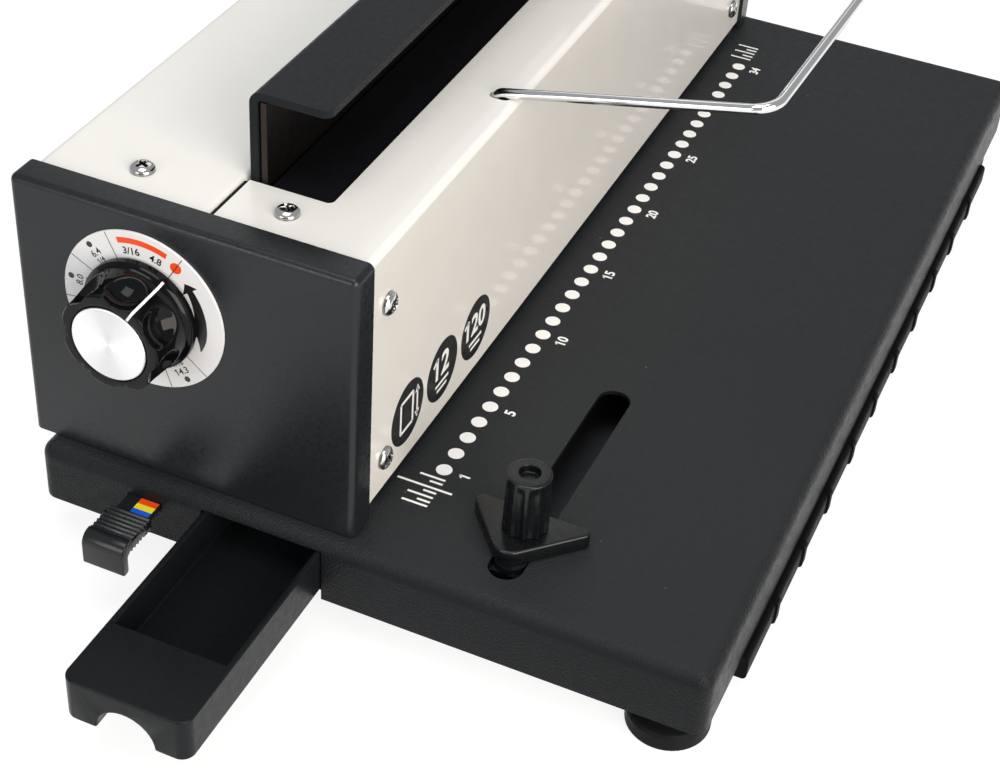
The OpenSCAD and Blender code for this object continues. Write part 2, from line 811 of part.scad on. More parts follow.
// Side frame at the left: plate, flanges for the covers and the base, shaft and spindle holes
module side_frame(spindle) {
    difference() {
        union() {
            span([-frame_out, cover_t, 0], [-frame_in, base_back - base_r, bed_z]);
            // Flange behind the front cover
            span([-frame_out, cover_t, slot_h + flange_t], [-flange_in, cover_t + flange_t, bed_z]);
            // Flange on the base
            span([-frame_out, punch_y + guide_half + 2 * die_ledge, 0],
                 [-flange_in, base_back - base_r, flange_t]);
            // Flange under the back cover
            span([-frame_out, screw_rear - rear_flange, cover_z - flange_t],
                 [-flange_in, screw_rear + rear_flange, cover_z]);
            span([-frame_out, screw_rear - rear_flange, bed_z - eps],
                 [-frame_in, screw_rear + rear_flange, cover_z]);
        }
        rod_x(-frame_out - over, -frame_in + over, shaft_r + bush_t, shaft_y, shaft_z);
        if (spindle) rod_x(-frame_out - over, -frame_in + over, spindle_r + bush_t, knob_y, knob_z);
        mirror([1, 0, 0]) at_cover_screws(front = false)
            translate([0, 0, -3 * flange_t]) cylinder(r = screw_r + snug, h = 3 * flange_t);
        for (y = frame_screw_y) translate([-frame_screw_x, y, -over])
            cylinder(r = screw_r + snug, h = flange_t + 2 * over);
    }
}

module left_side_frame() {
    color("#8d9196") seat() side_frame(true);
}

module right_side_frame() {
    color("#8d9196") seat() mirror([1, 0, 0]) side_frame(false);
}

module frame_screws() {
    color("silver") seat() at_frame_screws() translate([0, 0, -base_t]) rotate([180, 0, 0])
        pan_screw(screw_r, small_head * screw_head_r, base_t + flange_t + over);
}

// End cap at the left: a folded pan whose face is the machine's end
module end_cap(hole_r, hole_y, hole_z) {
    w = body_d + 2 * cap_t;
    top = body_top + cap_t;
    h = top - cap_lift + 2 * cap_r;
    difference() {
        translate([-cap_face, body_d / 2, top - h / 2]) rotate([0, -90, 0])
            pan(h, w, cap_w, cap_r, cap_t);
        rod_x(-cap_face - over, -body_half, hole_r, hole_y, hole_z);
        // The caps stand over the base with their lower side cut straight and open
        span([-cap_face - over, -cap_t - over, top - h - over],
             [-body_half + over, body_d + cap_t + over, cap_lift]);
    }
}

module left_end_cap() {
    color("#2a2b2e") seat() end_cap(spindle_r + shaft_hole_play, knob_y, knob_z);
}

module right_end_cap() {
    color("#2a2b2e") seat() mirror([1, 0, 0]) end_cap(shaft_r + shaft_hole_play, shaft_y, shaft_z);
}

module front_cover() {
    color("#ece9e2") seat() difference() {
        along_x(-cover_half, 2 * cover_half) translate([0, body_top]) mirror([1, 0])
            angle_profile(seam_y, body_top - slot_h, cover_t, cover_r);
        // Closing recess, open to the rear
        translate([0, 0, cover_z - over]) linear_extrude(cover_t + 2 * over) {
            translate([-notch_half, notch_y]) round_rect(2 * notch_half, seam_y, notch_r);
        }
        both_ends() at_cover_screws(rear = false) translate([0, 0, -cover_t - over])
            cylinder(r = screw_r + hole_play, h = cover_t + 2 * over);
        for (s = [-1, 1]) translate([s * leg_x, rod_y - rod_slot / 2, cover_z - over]) rotate(90)
            slot_cut(rod_slot, rod_r + rod_play, cover_t + 2 * over);
    }
}

module back_cover() {
    front = seam_y + seam_gap;
    color("#ece9e2") seat() difference() {
        union() {
            along_x(-cover_half, 2 * cover_half) translate([body_d, body_top])
                angle_profile(body_d - front - cover_r, body_top - slot_h, cover_t, cover_r);
            // Rolled front lip
            along_x(-cover_half, 2 * cover_half) translate([front, body_top]) mirror([1, 0])
                angle_profile(2 * cover_r + eps, lip_h, cover_t, cover_r);
        }
        both_ends() at_cover_screws(front = false, face = false) translate([0, 0, -cover_t - over])
            cylinder(r = screw_r + hole_play, h = cover_t + 2 * over);
    }
}

module cover_screws() {
    color("silver") seat() both_ends() at_cover_screws()
        pan_screw(screw_r, screw_head_r, cover_t + flange_t);
}

module closing_bed() {
    color("#19191c") seat() difference() {
        span([-frame_out, bed_y, bed_z], [frame_out, backing_y - bar_play, cover_z]);
        both_ends() at_cover_screws(rear = false, face = false) translate([0, 0, -cover_t - bed_t - over])
            cylinder(r = screw_r + snug, h = bed_t + 2 * over);
        // Sockets of the wire hanger
        for (s = [-1, 1]) translate([s * leg_x, rod_y, bed_z - over])
            cylinder(r = rod_r + rod_play / 2, h = bed_t + 2 * over);
    }
}

module die_plate() {
    x = notch_half - die_play;
    y = die_half - die_play;
    color("#b9bcc0") seat() difference() {
        union() {
            span([-x, punch_y - y, -die_t], [x, punch_y + y, 0]);
            span([-notch_half - die_ledge, punch_y - die_half - die_ledge, -die_t],
                 [notch_half + die_ledge, punch_y + die_half + die_ledge, -base_t]);
        }
        punch_row(punch_r + punch_play, -die_t - over, over);
    }
}

module punch_guide() {
    lead = 2;
    color("#a9adb3") seat() difference() {
        along_x(-frame_in, 2 * frame_in) translate([punch_y, pass_h]) polygon([
            [-guide_half, lead], [-guide_half + lead, 0], [guide_half, 0],
            [guide_half, guide_h], [-guide_half, guide_h]]);
        punch_row(punch_r + punch_play, pass_h - over, pass_top + over);
        both_ends() translate([post_x, punch_y, pass_h - over])
            cylinder(r = post_r + punch_play, h = guide_h + 2 * over);
    }
}

module beam_posts() {
    color("silver") seat() both_ends() translate([post_x, punch_y, 0]) cylinder(r = post_r, h = bed_z);
}

module shaft_bushes() {
    color("goldenrod") seat() both_ends() difference() {
        union() {
            rod_x(frame_in, frame_out, shaft_r + bush_t, shaft_y, shaft_z);
            rod_x(frame_in - bush_collar, frame_in, shaft_r + bush_t + bush_collar, shaft_y, shaft_z);
        }
        rod_x(frame_in - bush_collar - over, frame_out + over, shaft_r + shaft_play, shaft_y, shaft_z);
    }
}

module knob_bush() {
    color("goldenrod") seat() difference() {
        union() {
            rod_x(-frame_out, -frame_in, spindle_r + bush_t, knob_y, knob_z);
            rod_x(-frame_in, -frame_in + bush_collar, spindle_r + bush_t + bush_collar, knob_y, knob_z);
        }
        rod_x(-frame_out - over, -frame_in + bush_collar + over, spindle_r + shaft_play, knob_y, knob_z);
    }
}

module dial_plate() {
    color("whitesmoke") seat() difference() {
        rod_x(-cap_face - dial_t, -cap_face, dial_r, knob_y, knob_z);
        rod_x(-cap_face - dial_t - over, -cap_face + over, spindle_r + shaft_hole_play, knob_y, knob_z);
    }
}

// Left half of the hanger, ring by ring: foot, bend at the cover, bend at the cross bar
function bend_ring(a) = tube_ring([-leg_x, rod_y - rod_bend + rod_bend * cos(a),
    body_top - rod_sink + rod_bend * sin(a)], [1, 0, 0], [0, cos(a), sin(a)], rod_r, rod_sides);
function corner_ring(a) = let (out = [1, 0, 0])
    tube_ring([-leg_x, rod_y1, rod_z1] + (rod_l - rod_corner) * rise_dir
        + rod_corner * ((1 - cos(a)) * out + sin(a) * rise_dir),
        cos(a) * out - sin(a) * rise_dir, rise_normal, rod_r, rod_sides);
function mirrored(ring) = [for (p = ring) [-p[0], p[1], p[2]]];
function leaned(ring) = [for (p = ring) p + rod_skew * (p[0] + leg_x) * rise_dir];

module wire_hanger() {
    foot = tube_ring([-leg_x, rod_y, body_top - rod_in], [1, 0, 0], [0, 1, 0], rod_r, rod_sides);
    leg = concat([foot], [for (i = [0:bend_steps]) bend_ring(rod_turn * i / bend_steps)]);
    corner = [for (i = [0:bend_steps]) corner_ring(90 * i / bend_steps)];
    color("#c9ccd1") seat()
        tube(concat(leg, [for (ring = corner) leaned(ring)],
            [for (i = [bend_steps:-1:0]) leaned(mirrored(corner[i]))],
            [for (i = [len(leg) - 1:-1:0]) mirrored(leg[i])]), rod_sides);
}

module tray_rails() {
    x1 = -base_half + tray_l;
    color("#3a3b3e") seat() {
        span([-base_half + base_t + floor_play, tray_y - tray_play - rail_t, floor_top],
             [x1, tray_y - tray_play, floor_top + rail_h]);
        span([-base_half + base_t + floor_play, tray_y + tray_w + tray_play, floor_top],
             [x1, tray_y + tray_w + tray_play + rail_t, floor_top + rail_h]);
    }
}

// Lever and drive

module drive_shaft() {
    color("silver") seat() rod_x(-frame_out, hub_x + hub_l - hub_wall, shaft_r, shaft_y, shaft_z);
}

module pinions() {
    color("#9a9da2") seat() for (s = [-1, 1])
        translate([s * rack_x - pinion_w / 2, shaft_y, shaft_z]) rotate([90, 0, 90]) difference() {
            linear_extrude(pinion_w) pinion_profile();
            translate([0, 0, -over]) cylinder(r = shaft_r, h = pinion_w + 2 * over);
        }
}

module lever_hub() {
    color("#2a2b2e") seat() difference() {
        union() {
            rod_x(hub_x, hub_x + hub_l, hub_r, shaft_y, shaft_z);
            translate([lever_x, shaft_y, shaft_z]) cylinder(r = arm_r + socket_wall, h = hub_r + hub_socket);
        }
        rod_x(hub_x - over, hub_x + hub_l - hub_wall, shaft_r, shaft_y, shaft_z);
        translate([lever_x, shaft_y, shaft_z + hub_r - hub_wall])
            cylinder(r = arm_r, h = hub_socket + 2 * hub_wall);
        translate([lever_x, shaft_y - hub_r - over, shaft_z]) rotate([-90, 0, 0])
            cylinder(r = screw_r, h = hub_r - shaft_r + over);
    }
}

module hub_screw() {
    color("#6d7075") seat() translate([lever_x, shaft_y - hub_r + over, shaft_z]) rotate([-90, 0, 0])
        cylinder(r = screw_r, h = hub_r - shaft_r - over);
}

module lever_arm() {
    low = hub_r - hub_wall;
    color("#c9ccd1") seat() translate([lever_x, shaft_y, shaft_z + low])
        cylinder(r = arm_r, h = lever_l - grip_r - low);
}

module lever_grip() {
    low = lever_l - grip_l;
    taper_l = grip_l - grip_r;
    low_r = grip_r - grip_taper;
    color("#141415") seat() translate([lever_x, shaft_y, shaft_z]) difference() {
        rotate_extrude() difference() {
            union() {
                translate([0, lever_l - grip_r]) intersection() {
                    circle(grip_r);
                    square(grip_r);
                }
                translate([0, low]) polygon([[0, 0], [low_r, 0], [grip_r, taper_l], [0, taper_l]]);
            }
            // Finger rings
            for (i = [1:grip_rings]) let (h = i * taper_l / (grip_rings + 1))
                translate([low_r + grip_taper * h / taper_l + ring_r / 2, low + h]) circle(ring_r);
        }
        translate([0, 0, low - over]) cylinder(r = arm_r + snug, h = taper_l + over);
    }
}

// Beam, punches and closing bar

module punch_beam() {
    color("#70747a") seat() difference() {
        union() {
            span([-beam_x, punch_y - beam_half, beam_z], [beam_x, beam_back, beam_z + beam_h]);
            // Pegs for the return springs
            both_ends() translate([post_x, spring_y - coil_r - wire_r, beam_z + beam_h / 2])
                rotate([-90, 0, 0]) cylinder(r = peg_r, h = 2 * (coil_r + wire_r) + run_gap + over);
        }
        punch_row(punch_r + snug, beam_z - over, beam_z + pin_hold);
        both_ends() translate([post_x, punch_y, beam_z - over])
            cylinder(r = post_r + shaft_play, h = beam_h + 2 * over);
    }
}

module punch_pins() {
    color("silver") seat() punch_row(punch_r, pin_z, beam_z + pin_hold);
}

module at_brackets() {
    for (x = [-bracket_x, 0, bracket_x]) translate([x, 0, 0]) children();
}

module bar_brackets() {
    color("#70747a") seat() at_brackets() difference() {
        span([-bracket_w / 2, beam_back, beam_z + bracket_in],
             [bracket_w / 2, backing_y, beam_z + beam_h - bracket_in]);
        translate([0, bar_back, beam_z + beam_h / 2]) rotate([90, 0, 0])
            cylinder(r = screw_r + snug, h = bar_back - beam_back - over);
    }
}

module backing_plate() {
    color("#7b6f6c") seat() difference() {
        span([-bar_x + plate_in, backing_y, bar_low],
             [bar_x - plate_in, backing_back, bar_top - bar_t - backing_gap]);
        at_brackets() translate([0, bar_back, beam_z + beam_h / 2]) rotate([90, 0, 0])
            cylinder(r = screw_r + hole_play, h = bar_back - beam_back);
    }
}

module closing_bar() {
    color("#2a2b2e") seat() difference() {
        along_x(-bar_x, 2 * bar_x) translate([bar_back, bar_top])
            angle_profile(bar_w, bar_top - bar_low, bar_t, bar_r);
        at_brackets() translate([0, bar_back + over, beam_z + beam_h / 2]) rotate([90, 0, 0])
            cylinder(r = screw_r + hole_play, h = bar_t + 2 * over);
        both_ends() translate([bar_x - bar_corner, bar_back - bar_w + bar_corner, bar_top - bar_t - over])
            corner_cut(bar_corner, bar_t + 2 * over);
    }
}

module bar_screws() {
    color("silver") seat() at_brackets() translate([0, bar_back, beam_z + beam_h / 2]) rotate([-90, 0, 0])
        pan_screw(screw_r, small_head * screw_head_r, bar_back - beam_back - 2 * over);
}

module racks() {
    color("#9a9da2") seat() for (s = [-1, 1]) translate([s * rack_x - rack_w / 2, bar_back, shaft_z])
        rotate([90, 0, 90]) linear_extrude(rack_w) rack_profile();
}

module stop_lug() {
    color("#70747a") seat() span([-cam_x - cam_w + over, bar_back, lug_z],
        [-rack_x - rack_w / 2 - over, bar_back + lug_d, lug_z + lug_h]);
}

// Spring wire along a helix, ring by ring
function helix_point(i, n) = let (a = i * 360 / rings_per_turn)
    [coil_r * cos(a), coil_r * sin(a), spring_low + (spring_high - spring_low) * i / n];
function helix_ring(i, n) = let (a = i * 360 / rings_per_turn)
    tube_ring(helix_point(i, n), [cos(a), sin(a), 0], [0, 0, 1], wire_r, wire_sides);

module spring() {
    n = coil_turns * rings_per_turn;
    gap = min([for (i = [0:n - rings_per_turn])
        norm(helix_point(i + rings_per_turn, n) - helix_point(i, n))]) - 2 * wire_r;
    echo("least gap between the spring's turns", gap);
    tube([for (i = [0:n]) helix_ring(i, n)], wire_sides);
}

module return_springs() {
    color("silver") seat() both_ends() translate([post_x, spring_y, 0]) spring();
}

// Size knob

// Turns a piece so that its own +Z points out of the left end, on the knob's axis
module at_knob(x) {
    translate([-x, knob_y, knob_z]) rotate([0, -90, 0]) children();
}

module size_knob() {
    color("#101011") seat() at_knob(knob_back) difference() {
        rotate_extrude() polygon([[0, 0], [knob_r, 0], [knob_r, knob_skirt - knob_edge],
            [knob_r - knob_edge, knob_skirt], [knob_top_r, knob_h - knob_edge],
            [knob_top_r - knob_edge, knob_h], [0, knob_h]]);
        for (i = [0:knob_scallops - 1])
            rotate((i + 0.5) * 360 / knob_scallops + dial_start - 90 + scallop_turn)
                translate([knob_top_r + scallop_r - scallop_in, 0, scallop_h]) sphere(r = scallop_r);
        translate([0, 0, knob_h - face_in]) cylinder(r = face_r, h = face_in + over);
        translate([0, 0, -over]) cylinder(r = spindle_r + snug, h = knob_h - knob_wall + over);
    }
}

module knob_face() {
    color("#c4c6ca") seat() at_knob(knob_front - face_in)
        cylinder(r1 = face_r, r2 = face_r - knob_edge / 3, h = face_in + knob_edge / 2);
}

module knob_spindle() {
    color("silver") seat() rod_x(-knob_front + knob_wall, -cam_x + cam_w / 2, spindle_r, knob_y, knob_z);
}

// Stop cam, seen from the left end with the front at the right: one step for each wire size, then
// the low arc of the punching position
function cam_arc(r, from, to) = [for (i = [0:cam_steps]) let (a = from + (to - from) * i / cam_steps)
    r * [cos(a), sin(a)]];

module stop_cam() {
    last = cam_first - (len(wire_sizes) - 0.5) * dial_step;
    steps = [for (i = [0:len(wire_sizes) - 1]) let (a = cam_first - i * dial_step)
        each cam_arc(cam_radius(wire_sizes[i]), a + dial_step / 2, a - dial_step / 2)];
    low = cam_arc(cam_low_r, last, cam_first + dial_step / 2 - 360);
    color("#70747a") seat() translate([-cam_x + cam_w / 2, knob_y, knob_z]) rotate([90, 0, -90]) difference() {
        linear_extrude(cam_w) polygon(concat(steps, low));
        translate([0, 0, -over]) cylinder(r = spindle_r, h = cam_w + 2 * over);
    }
}

// Margin slider and paper stop

module slider_thumb() {
    ribs = 7;
    nose_r = 3.8;
    nose_up = 0.4;
    lip_t = 3;
    lip_r = 1;
    groove_r = 0.62;
    groove_out = 0.25;
    pitch = (thumb_l - nose_r) / ribs;
    first = 1.2;
    top = slider_top + slider_t / 2;
    color("#1c1d1f") seat() translate([-thumb_back, slider_mid + thumb_w / 2, top]) rotate([90, 0, 0])
        linear_extrude(thumb_w) difference() {
            union() {
                translate([-thumb_l + nose_r, -thumb_t]) square([thumb_l - nose_r, thumb_t]);
                translate([-thumb_l + nose_r, nose_up - nose_r]) circle(nose_r);
                translate([-thumb_l, nose_up - thumb_lip])
                    round_rect(lip_t, thumb_lip - nose_r + lip_r, lip_r);
            }
            for (i = [0:ribs - 1], y = [groove_out, -thumb_t - groove_out])
                translate([-first - i * pitch, y]) circle(groove_r, $fn = groove_fn);
        }
}

module slider_bar() {
    color("#2f3033") seat() difference() {
        span([-thumb_back, slider_y, slider_top - slider_t], [slider_end, slider_y + slider_w, slider_top]);
        // Inclined slots that drive the paper stop
        for (s = [-1, 1]) translate([s * stop_arm_x - slider_out / 2, stop_pin_y - stop_travel / 2,
                                     slider_top - slider_t - over])
            rotate(stop_slope) slot_cut(stop_slot_l, stop_pin_r + stop_pin_play, slider_t + 2 * over);
    }
}

module paper_stop() {
    color("#8d9196") seat() {
        span([-row_half, stop_y, stop_lift], [row_half, stop_y + stop_bar_w, stop_lift + stop_t]);
        for (s = [-1, 1]) translate([s * stop_arm_x, 0, 0]) {
            span([-stop_arm_w / 2, stop_y + stop_bar_w - eps, stop_lift],
                 [stop_arm_w / 2, stop_pin_y + 2 * stop_pin_r, stop_lift + stop_t]);
            translate([0, stop_pin_y, stop_pin_low])
                cylinder(r = stop_pin_r, h = stop_lift + eps - stop_pin_low);
        }
    }
}

// Chip tray

module chip_tray() {
    color("#1b1c1e") seat() difference() {
        translate([tray_x, tray_y, tray_z]) linear_extrude(tray_h) {
            translate([pull_corner, 0]) square([tray_l - pull_corner, tray_w]);
            translate([0, pull_corner]) square([pull_l, tray_w - 2 * pull_corner]);
            for (y = [pull_corner, tray_w - pull_corner]) translate([pull_corner, y]) circle(pull_corner);
        }
        span([tray_x + pull_l, tray_y + tray_t, tray_z + tray_t],
             [tray_x + tray_l - tray_t, tray_y + tray_w - tray_t, tray_z + tray_h + over]);
        // Finger arch, open to the front and below
        rod_x(tray_x - over, tray_x + pull_in, pull_r, tray_mid, tray_z);
    }
}

// Edge guide

module guide_outline() {
    hull() {
        for (s = [-1, 1]) translate([guide_reach - guide_corner_r, s * (guide_edge / 2 - guide_corner_r)])
            circle(guide_corner_r, $fn = hull_fn);
        translate([guide_r - guide_point, guide_skew]) circle(guide_r, $fn = hull_fn);
    }
}

module guide_plate() {
    color("#1b1c1e") seat() translate([stud_x, -guide_y, guide_play]) difference() {
        linear_extrude(guide_t) guide_outline();
        translate([0, 0, -over]) cylinder(r = stud_r + hole_play / 2, h = guide_t + 2 * over);
    }
}

module guide_block() {
    r = slot_r - guide_play;
    x0 = -guide_set + block_in;
    tongue_h = base_t + 2 * guide_play + eps;
    color("#1b1c1e") seat() translate([stud_x, -guide_y, 0]) difference() {
        union() {
            translate([x0 + block_l / 2, 0, guide_play - tongue_h]) slot_cut(block_l - 2 * r, r, tongue_h);
            span([x0, -slot_r - block_foot, -base_t - guide_play - block_foot_t],
                 [x0 + block_l, slot_r + block_foot, -base_t - guide_play]);
        }
        translate([0, 0, -base_t - 2 * block_foot_t])
            cylinder(r = stud_r + hole_play / 2, h = 3 * block_foot_t + base_t);
    }
}

module guide_knob() {
    z0 = guide_play + guide_t + run_gap;
    edge = 1.2;
    flute_in = 0.7;
    hole_r = 3.1;
    hole_h = 2.5;
    color("#161617") seat() translate([stud_x, -guide_y, 0]) {
        difference() {
            translate([0, 0, z0]) rotate_extrude() polygon([[0, 0], [clamp_foot_r, 0],
                [clamp_r, clamp_h - edge], [clamp_r - edge, clamp_h], [0, clamp_h]]);
            for (i = [0:clamp_flutes - 1]) rotate(i * 360 / clamp_flutes)
                translate([clamp_foot_r + flute_r - flute_in, 0, z0 - over])
                    cylinder(r = flute_r, h = clamp_h - edge, $fn = groove_fn);
            translate([0, 0, z0 + clamp_h - hole_h]) cylinder(r = hole_r, h = hole_h + over);
        }
        translate([0, 0, -base_t - guide_play - block_foot_t])
            cylinder(r = stud_r, h = base_t + guide_play + block_foot_t + z0 + eps);
    }
}

base_pan();
bottom_plate();
rubber_feet();
foot_screws();
front_strip();
left_side_frame();
right_side_frame();
frame_screws();
left_end_cap();
right_end_cap();
front_cover();
back_cover();
cover_screws();
closing_bed();
die_plate();
punch_guide();
beam_posts();
shaft_bushes();
knob_bush();
dial_plate();
wire_hanger();
tray_rails();
drive_shaft();
pinions();
lever_hub();
lever_arm();
lever_grip();
hub_screw();
punch_beam();
punch_pins();
bar_brackets();
backing_plate();
closing_bar();
bar_screws();
racks();
stop_lug();
return_springs();
size_knob();
knob_face();
knob_spindle();
stop_cam();
slider_thumb();
slider_bar();
paper_stop();
chip_tray();
guide_plate();
guide_block();
guide_knob();
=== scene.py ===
"""Looks of the wire binding machine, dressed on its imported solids.

Sizes are millimetres in the machine's own frame: x = 0 in the middle of the hole row, y = 0 on the
front cover's face, z = 0 on the base's top, +Y to the back. Every piece is moved from there into the
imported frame, where its place is in its mesh.
"""

import json
import logging
from contextlib import contextmanager
from dataclasses import dataclass, replace
from enum import Enum
from functools import cache
from typing import Callable, Iterator, Sequence

import bmesh
import bpy
import numpy as np
from mathutils import Matrix, Vector

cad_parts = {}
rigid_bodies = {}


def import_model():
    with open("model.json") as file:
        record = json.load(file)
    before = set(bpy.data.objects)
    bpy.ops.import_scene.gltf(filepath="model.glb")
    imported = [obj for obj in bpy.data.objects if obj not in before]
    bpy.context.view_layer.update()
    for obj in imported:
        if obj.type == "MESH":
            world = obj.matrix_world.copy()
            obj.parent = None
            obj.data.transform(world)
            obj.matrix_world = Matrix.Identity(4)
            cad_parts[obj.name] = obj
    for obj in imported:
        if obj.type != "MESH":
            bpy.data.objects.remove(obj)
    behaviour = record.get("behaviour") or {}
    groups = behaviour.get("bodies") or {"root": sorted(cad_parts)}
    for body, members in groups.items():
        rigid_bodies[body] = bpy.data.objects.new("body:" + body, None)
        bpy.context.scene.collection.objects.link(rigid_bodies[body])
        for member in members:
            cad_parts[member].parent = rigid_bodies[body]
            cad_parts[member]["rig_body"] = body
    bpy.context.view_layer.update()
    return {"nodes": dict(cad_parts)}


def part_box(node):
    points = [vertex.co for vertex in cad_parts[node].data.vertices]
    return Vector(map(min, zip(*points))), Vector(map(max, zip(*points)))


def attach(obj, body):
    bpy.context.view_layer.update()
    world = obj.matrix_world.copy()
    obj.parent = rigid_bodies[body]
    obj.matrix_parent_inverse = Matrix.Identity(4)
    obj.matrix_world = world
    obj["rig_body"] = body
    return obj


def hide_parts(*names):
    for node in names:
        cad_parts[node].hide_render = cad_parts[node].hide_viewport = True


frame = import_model()

LOG = logging.getLogger("binding_machine")
MM = 0.001
Array = np.ndarray
Face = list[int]
Form = tuple[Array, list[Face]]
Point = tuple[float, float]
Place = tuple[float, float, float]
Color = tuple[float, float, float]
Row = tuple[float, ...]
Line = tuple[Point, ...]
Band = tuple[float, float, Point, Point]
Socket = bpy.types.NodeSocket
ORIGIN: Place = (0, 0, 0)
RIGHT: Place = (1, 0, 0)
BACK: Place = (0, 1, 0)
FRONT: Place = (0, -1, 0)
UP: Place = (0, 0, 1)


def machine_shift() -> Array:
    """The machine frame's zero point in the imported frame, read from three solids.

    Returns:
        The shift in millimetres.
    """
    pins_low, pins_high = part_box("punch_pins")
    return np.array([(pins_low.x + pins_high.x) / 2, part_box("front_cover")[0].y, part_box("base_pan")[1].z]) / MM


SHIFT = machine_shift()


def linked(name: str, data: bpy.types.ID) -> bpy.types.Object:
    """An object of some data, linked to the scene.

    Args:
        name: the object's name.
        data: its mesh, curve, lamp or camera.

    Returns:
        The object.
    """
    made = bpy.data.objects.new(name, data)
    bpy.context.scene.collection.objects.link(made)
    return made


# Surface finishes


class Pattern(Enum):
    """What the fine relief of a finish follows."""

    GRAIN = "grain"
    BRUSHED = "brushed"
    TURNED = "turned"


class NodeSheet:
    """Lays out the nodes of one material or one node group."""

    def __init__(self, tree: bpy.types.NodeTree) -> None:
        """Keeps the tree and clears it."""
        self.tree = tree
        tree.nodes.clear()

    def feed(self, target: Socket, value: object) -> None:
        """Links an input to a socket, or sets it to a value.

        Args:
            target: the input.
            value: the socket or the value.
        """
        if isinstance(value, Socket):
            self.tree.links.new(value, target)
        else:
            target.default_value = value

    def add(self, kind: str, group: bpy.types.NodeTree | None = None, **inputs: object) -> bpy.types.Node:
        """Adds a node and feeds its inputs.

        Args:
            kind: the node's type name, without its ShaderNode prefix.
            group: the node group that it shows, if it is a group node.
            inputs: sockets or values by the inputs' names, with underscores for spaces.

        Returns:
            The node.
        """
        node = self.tree.nodes.new(kind if kind.startswith("Node") else "ShaderNode" + kind)
        if group:
            node.node_tree = group
        for key, value in inputs.items():
            self.feed(node.inputs[key.replace("_", " ")], value)
        return node

    def join(self, kind: str, *values: object) -> Socket:
        """Adds a node, feeds its inputs in their order and gives its first output.

        Args:
            kind: the node's type name, without its prefix.
            values: sockets or values of its first inputs.

        Returns:
            The first output.
        """
        node = self.add(kind)
        for target, value in zip(node.inputs, values):
            self.feed(target, value)
        return node.outputs[0]

    def math(self, operation: str, *values: object, kind: str = "Math") -> Socket:
        """The result of a Math node, or of a node of another kind that has operations.

        Args:
            operation: the operation's name.
            values: sockets or values to work on.
            kind: the node's type name.

        Returns:
            The result's socket.
        """
        result = self.join(kind, *values)
        result.node.operation = operation
        return result

    def mix(self, share: object, first: object, second: object) -> Socket:
        """A mix of two colours, of which the second has the given share.

        Args:
            share: the second colour's share.
            first: the first colour.
            second: the second colour.

        Returns:
            The mixed colour's socket.
        """
        node = self.add("Mix")
        node.data_type = "RGBA"
        for index, value in ((0, share), (6, first), (7, second)):
            self.feed(node.inputs[index], value)
        return node.outputs[2]

    def where(self, output: str = "Object") -> Socket:
        """The place on the surface, in an object's own coordinates."""
        return self.add("TexCoord").outputs[output]

    def along(self, output: str) -> bpy.types.NodeOutputs:
        """The three parts of a place or of a direction."""
        return self.add("SeparateXYZ", Vector=self.where(output)).outputs


class EffectGroups:
    """Shader node groups that several finishes share, each built once."""

    @staticmethod
    def _start(name: str, inputs: dict[str, float], *outputs: str) -> tuple[NodeSheet, bpy.types.NodeOutputs]:
        """Opens a new group with number sockets.

        Args:
            name: the group's name.
            inputs: names and defaults of its inputs.
            outputs: names of its outputs.

        Returns:
            The sheet and the group's inputs.
        """
        tree = bpy.data.node_groups.new(name, "ShaderNodeTree")
        for label, value in inputs.items():
            tree.interface.new_socket(name=label, in_out="INPUT", socket_type="NodeSocketFloat").default_value = value
        for label in outputs:
            tree.interface.new_socket(name=label, in_out="OUTPUT", socket_type="NodeSocketFloat")
        sheet = NodeSheet(tree)
        return sheet, sheet.add("NodeGroupInput").outputs

    @staticmethod
    @cache
    def relief() -> bpy.types.NodeTree:
        """Fine moulded or sprayed relief: two sizes of noise, as a height and as a broad mask.

        Returns:
            The group.
        """
        sheet, source = EffectGroups._start("relief", {"Cells": 1500.0, "Along": 1.0}, "Height", "Mask")
        stretch = sheet.add("CombineXYZ", X=source["Along"], Y=1.0, Z=1.0).outputs[0]
        place = sheet.math("MULTIPLY", sheet.where(), stretch, kind="VectorMath")
        wide = sheet.math("MULTIPLY", source["Cells"], 0.22)
        fine = sheet.add("TexNoise", Vector=place, Scale=source["Cells"], Detail=3.0, Roughness=0.55)
        broad = sheet.add("TexNoise", Vector=place, Scale=wide, Detail=2.0, Roughness=0.5)
        sheet.add("NodeGroupOutput", Height=fine.outputs[0], Mask=broad.outputs[0])
        return sheet.tree

    @staticmethod
    @cache
    def cloud() -> bpy.types.NodeTree:
        """Slow change of tone over a whole panel: large noise stretched to the full 0 to 1 range.

        Returns:
            The group.
        """
        sheet, source = EffectGroups._start("cloud", {"Cells": 18.0}, "Tone")
        noise = sheet.add("TexNoise", Vector=sheet.where(), Scale=source["Cells"], Detail=4.0, Roughness=0.6)
        spread = sheet.add("MapRange", Value=noise.outputs[0], From_Min=0.3, From_Max=0.7)
        sheet.add("NodeGroupOutput", Tone=spread.outputs[0])
        return sheet.tree

    @staticmethod
    @cache
    def dust() -> bpy.types.NodeTree:
        """Sparse pale specks: the middles of those Voronoi cells whose own random tone is under the share.

        Returns:
            The group.
        """
        sheet, source = EffectGroups._start("dust", {"Cells": 420.0, "Share": 0.05}, "Speck")
        cells = sheet.add("TexVoronoi", Vector=sheet.where(), Scale=source["Cells"]).outputs
        tone = sheet.add("SeparateColor", Color=cells["Color"]).outputs
        chosen = sheet.math("LESS_THAN", tone[0], source["Share"])
        near = sheet.math("LESS_THAN", cells["Distance"], sheet.math("MULTIPLY_ADD", tone[1], 0.16, 0.03))
        sheet.add("NodeGroupOutput", Speck=sheet.math("MULTIPLY", chosen, near))
        return sheet.tree


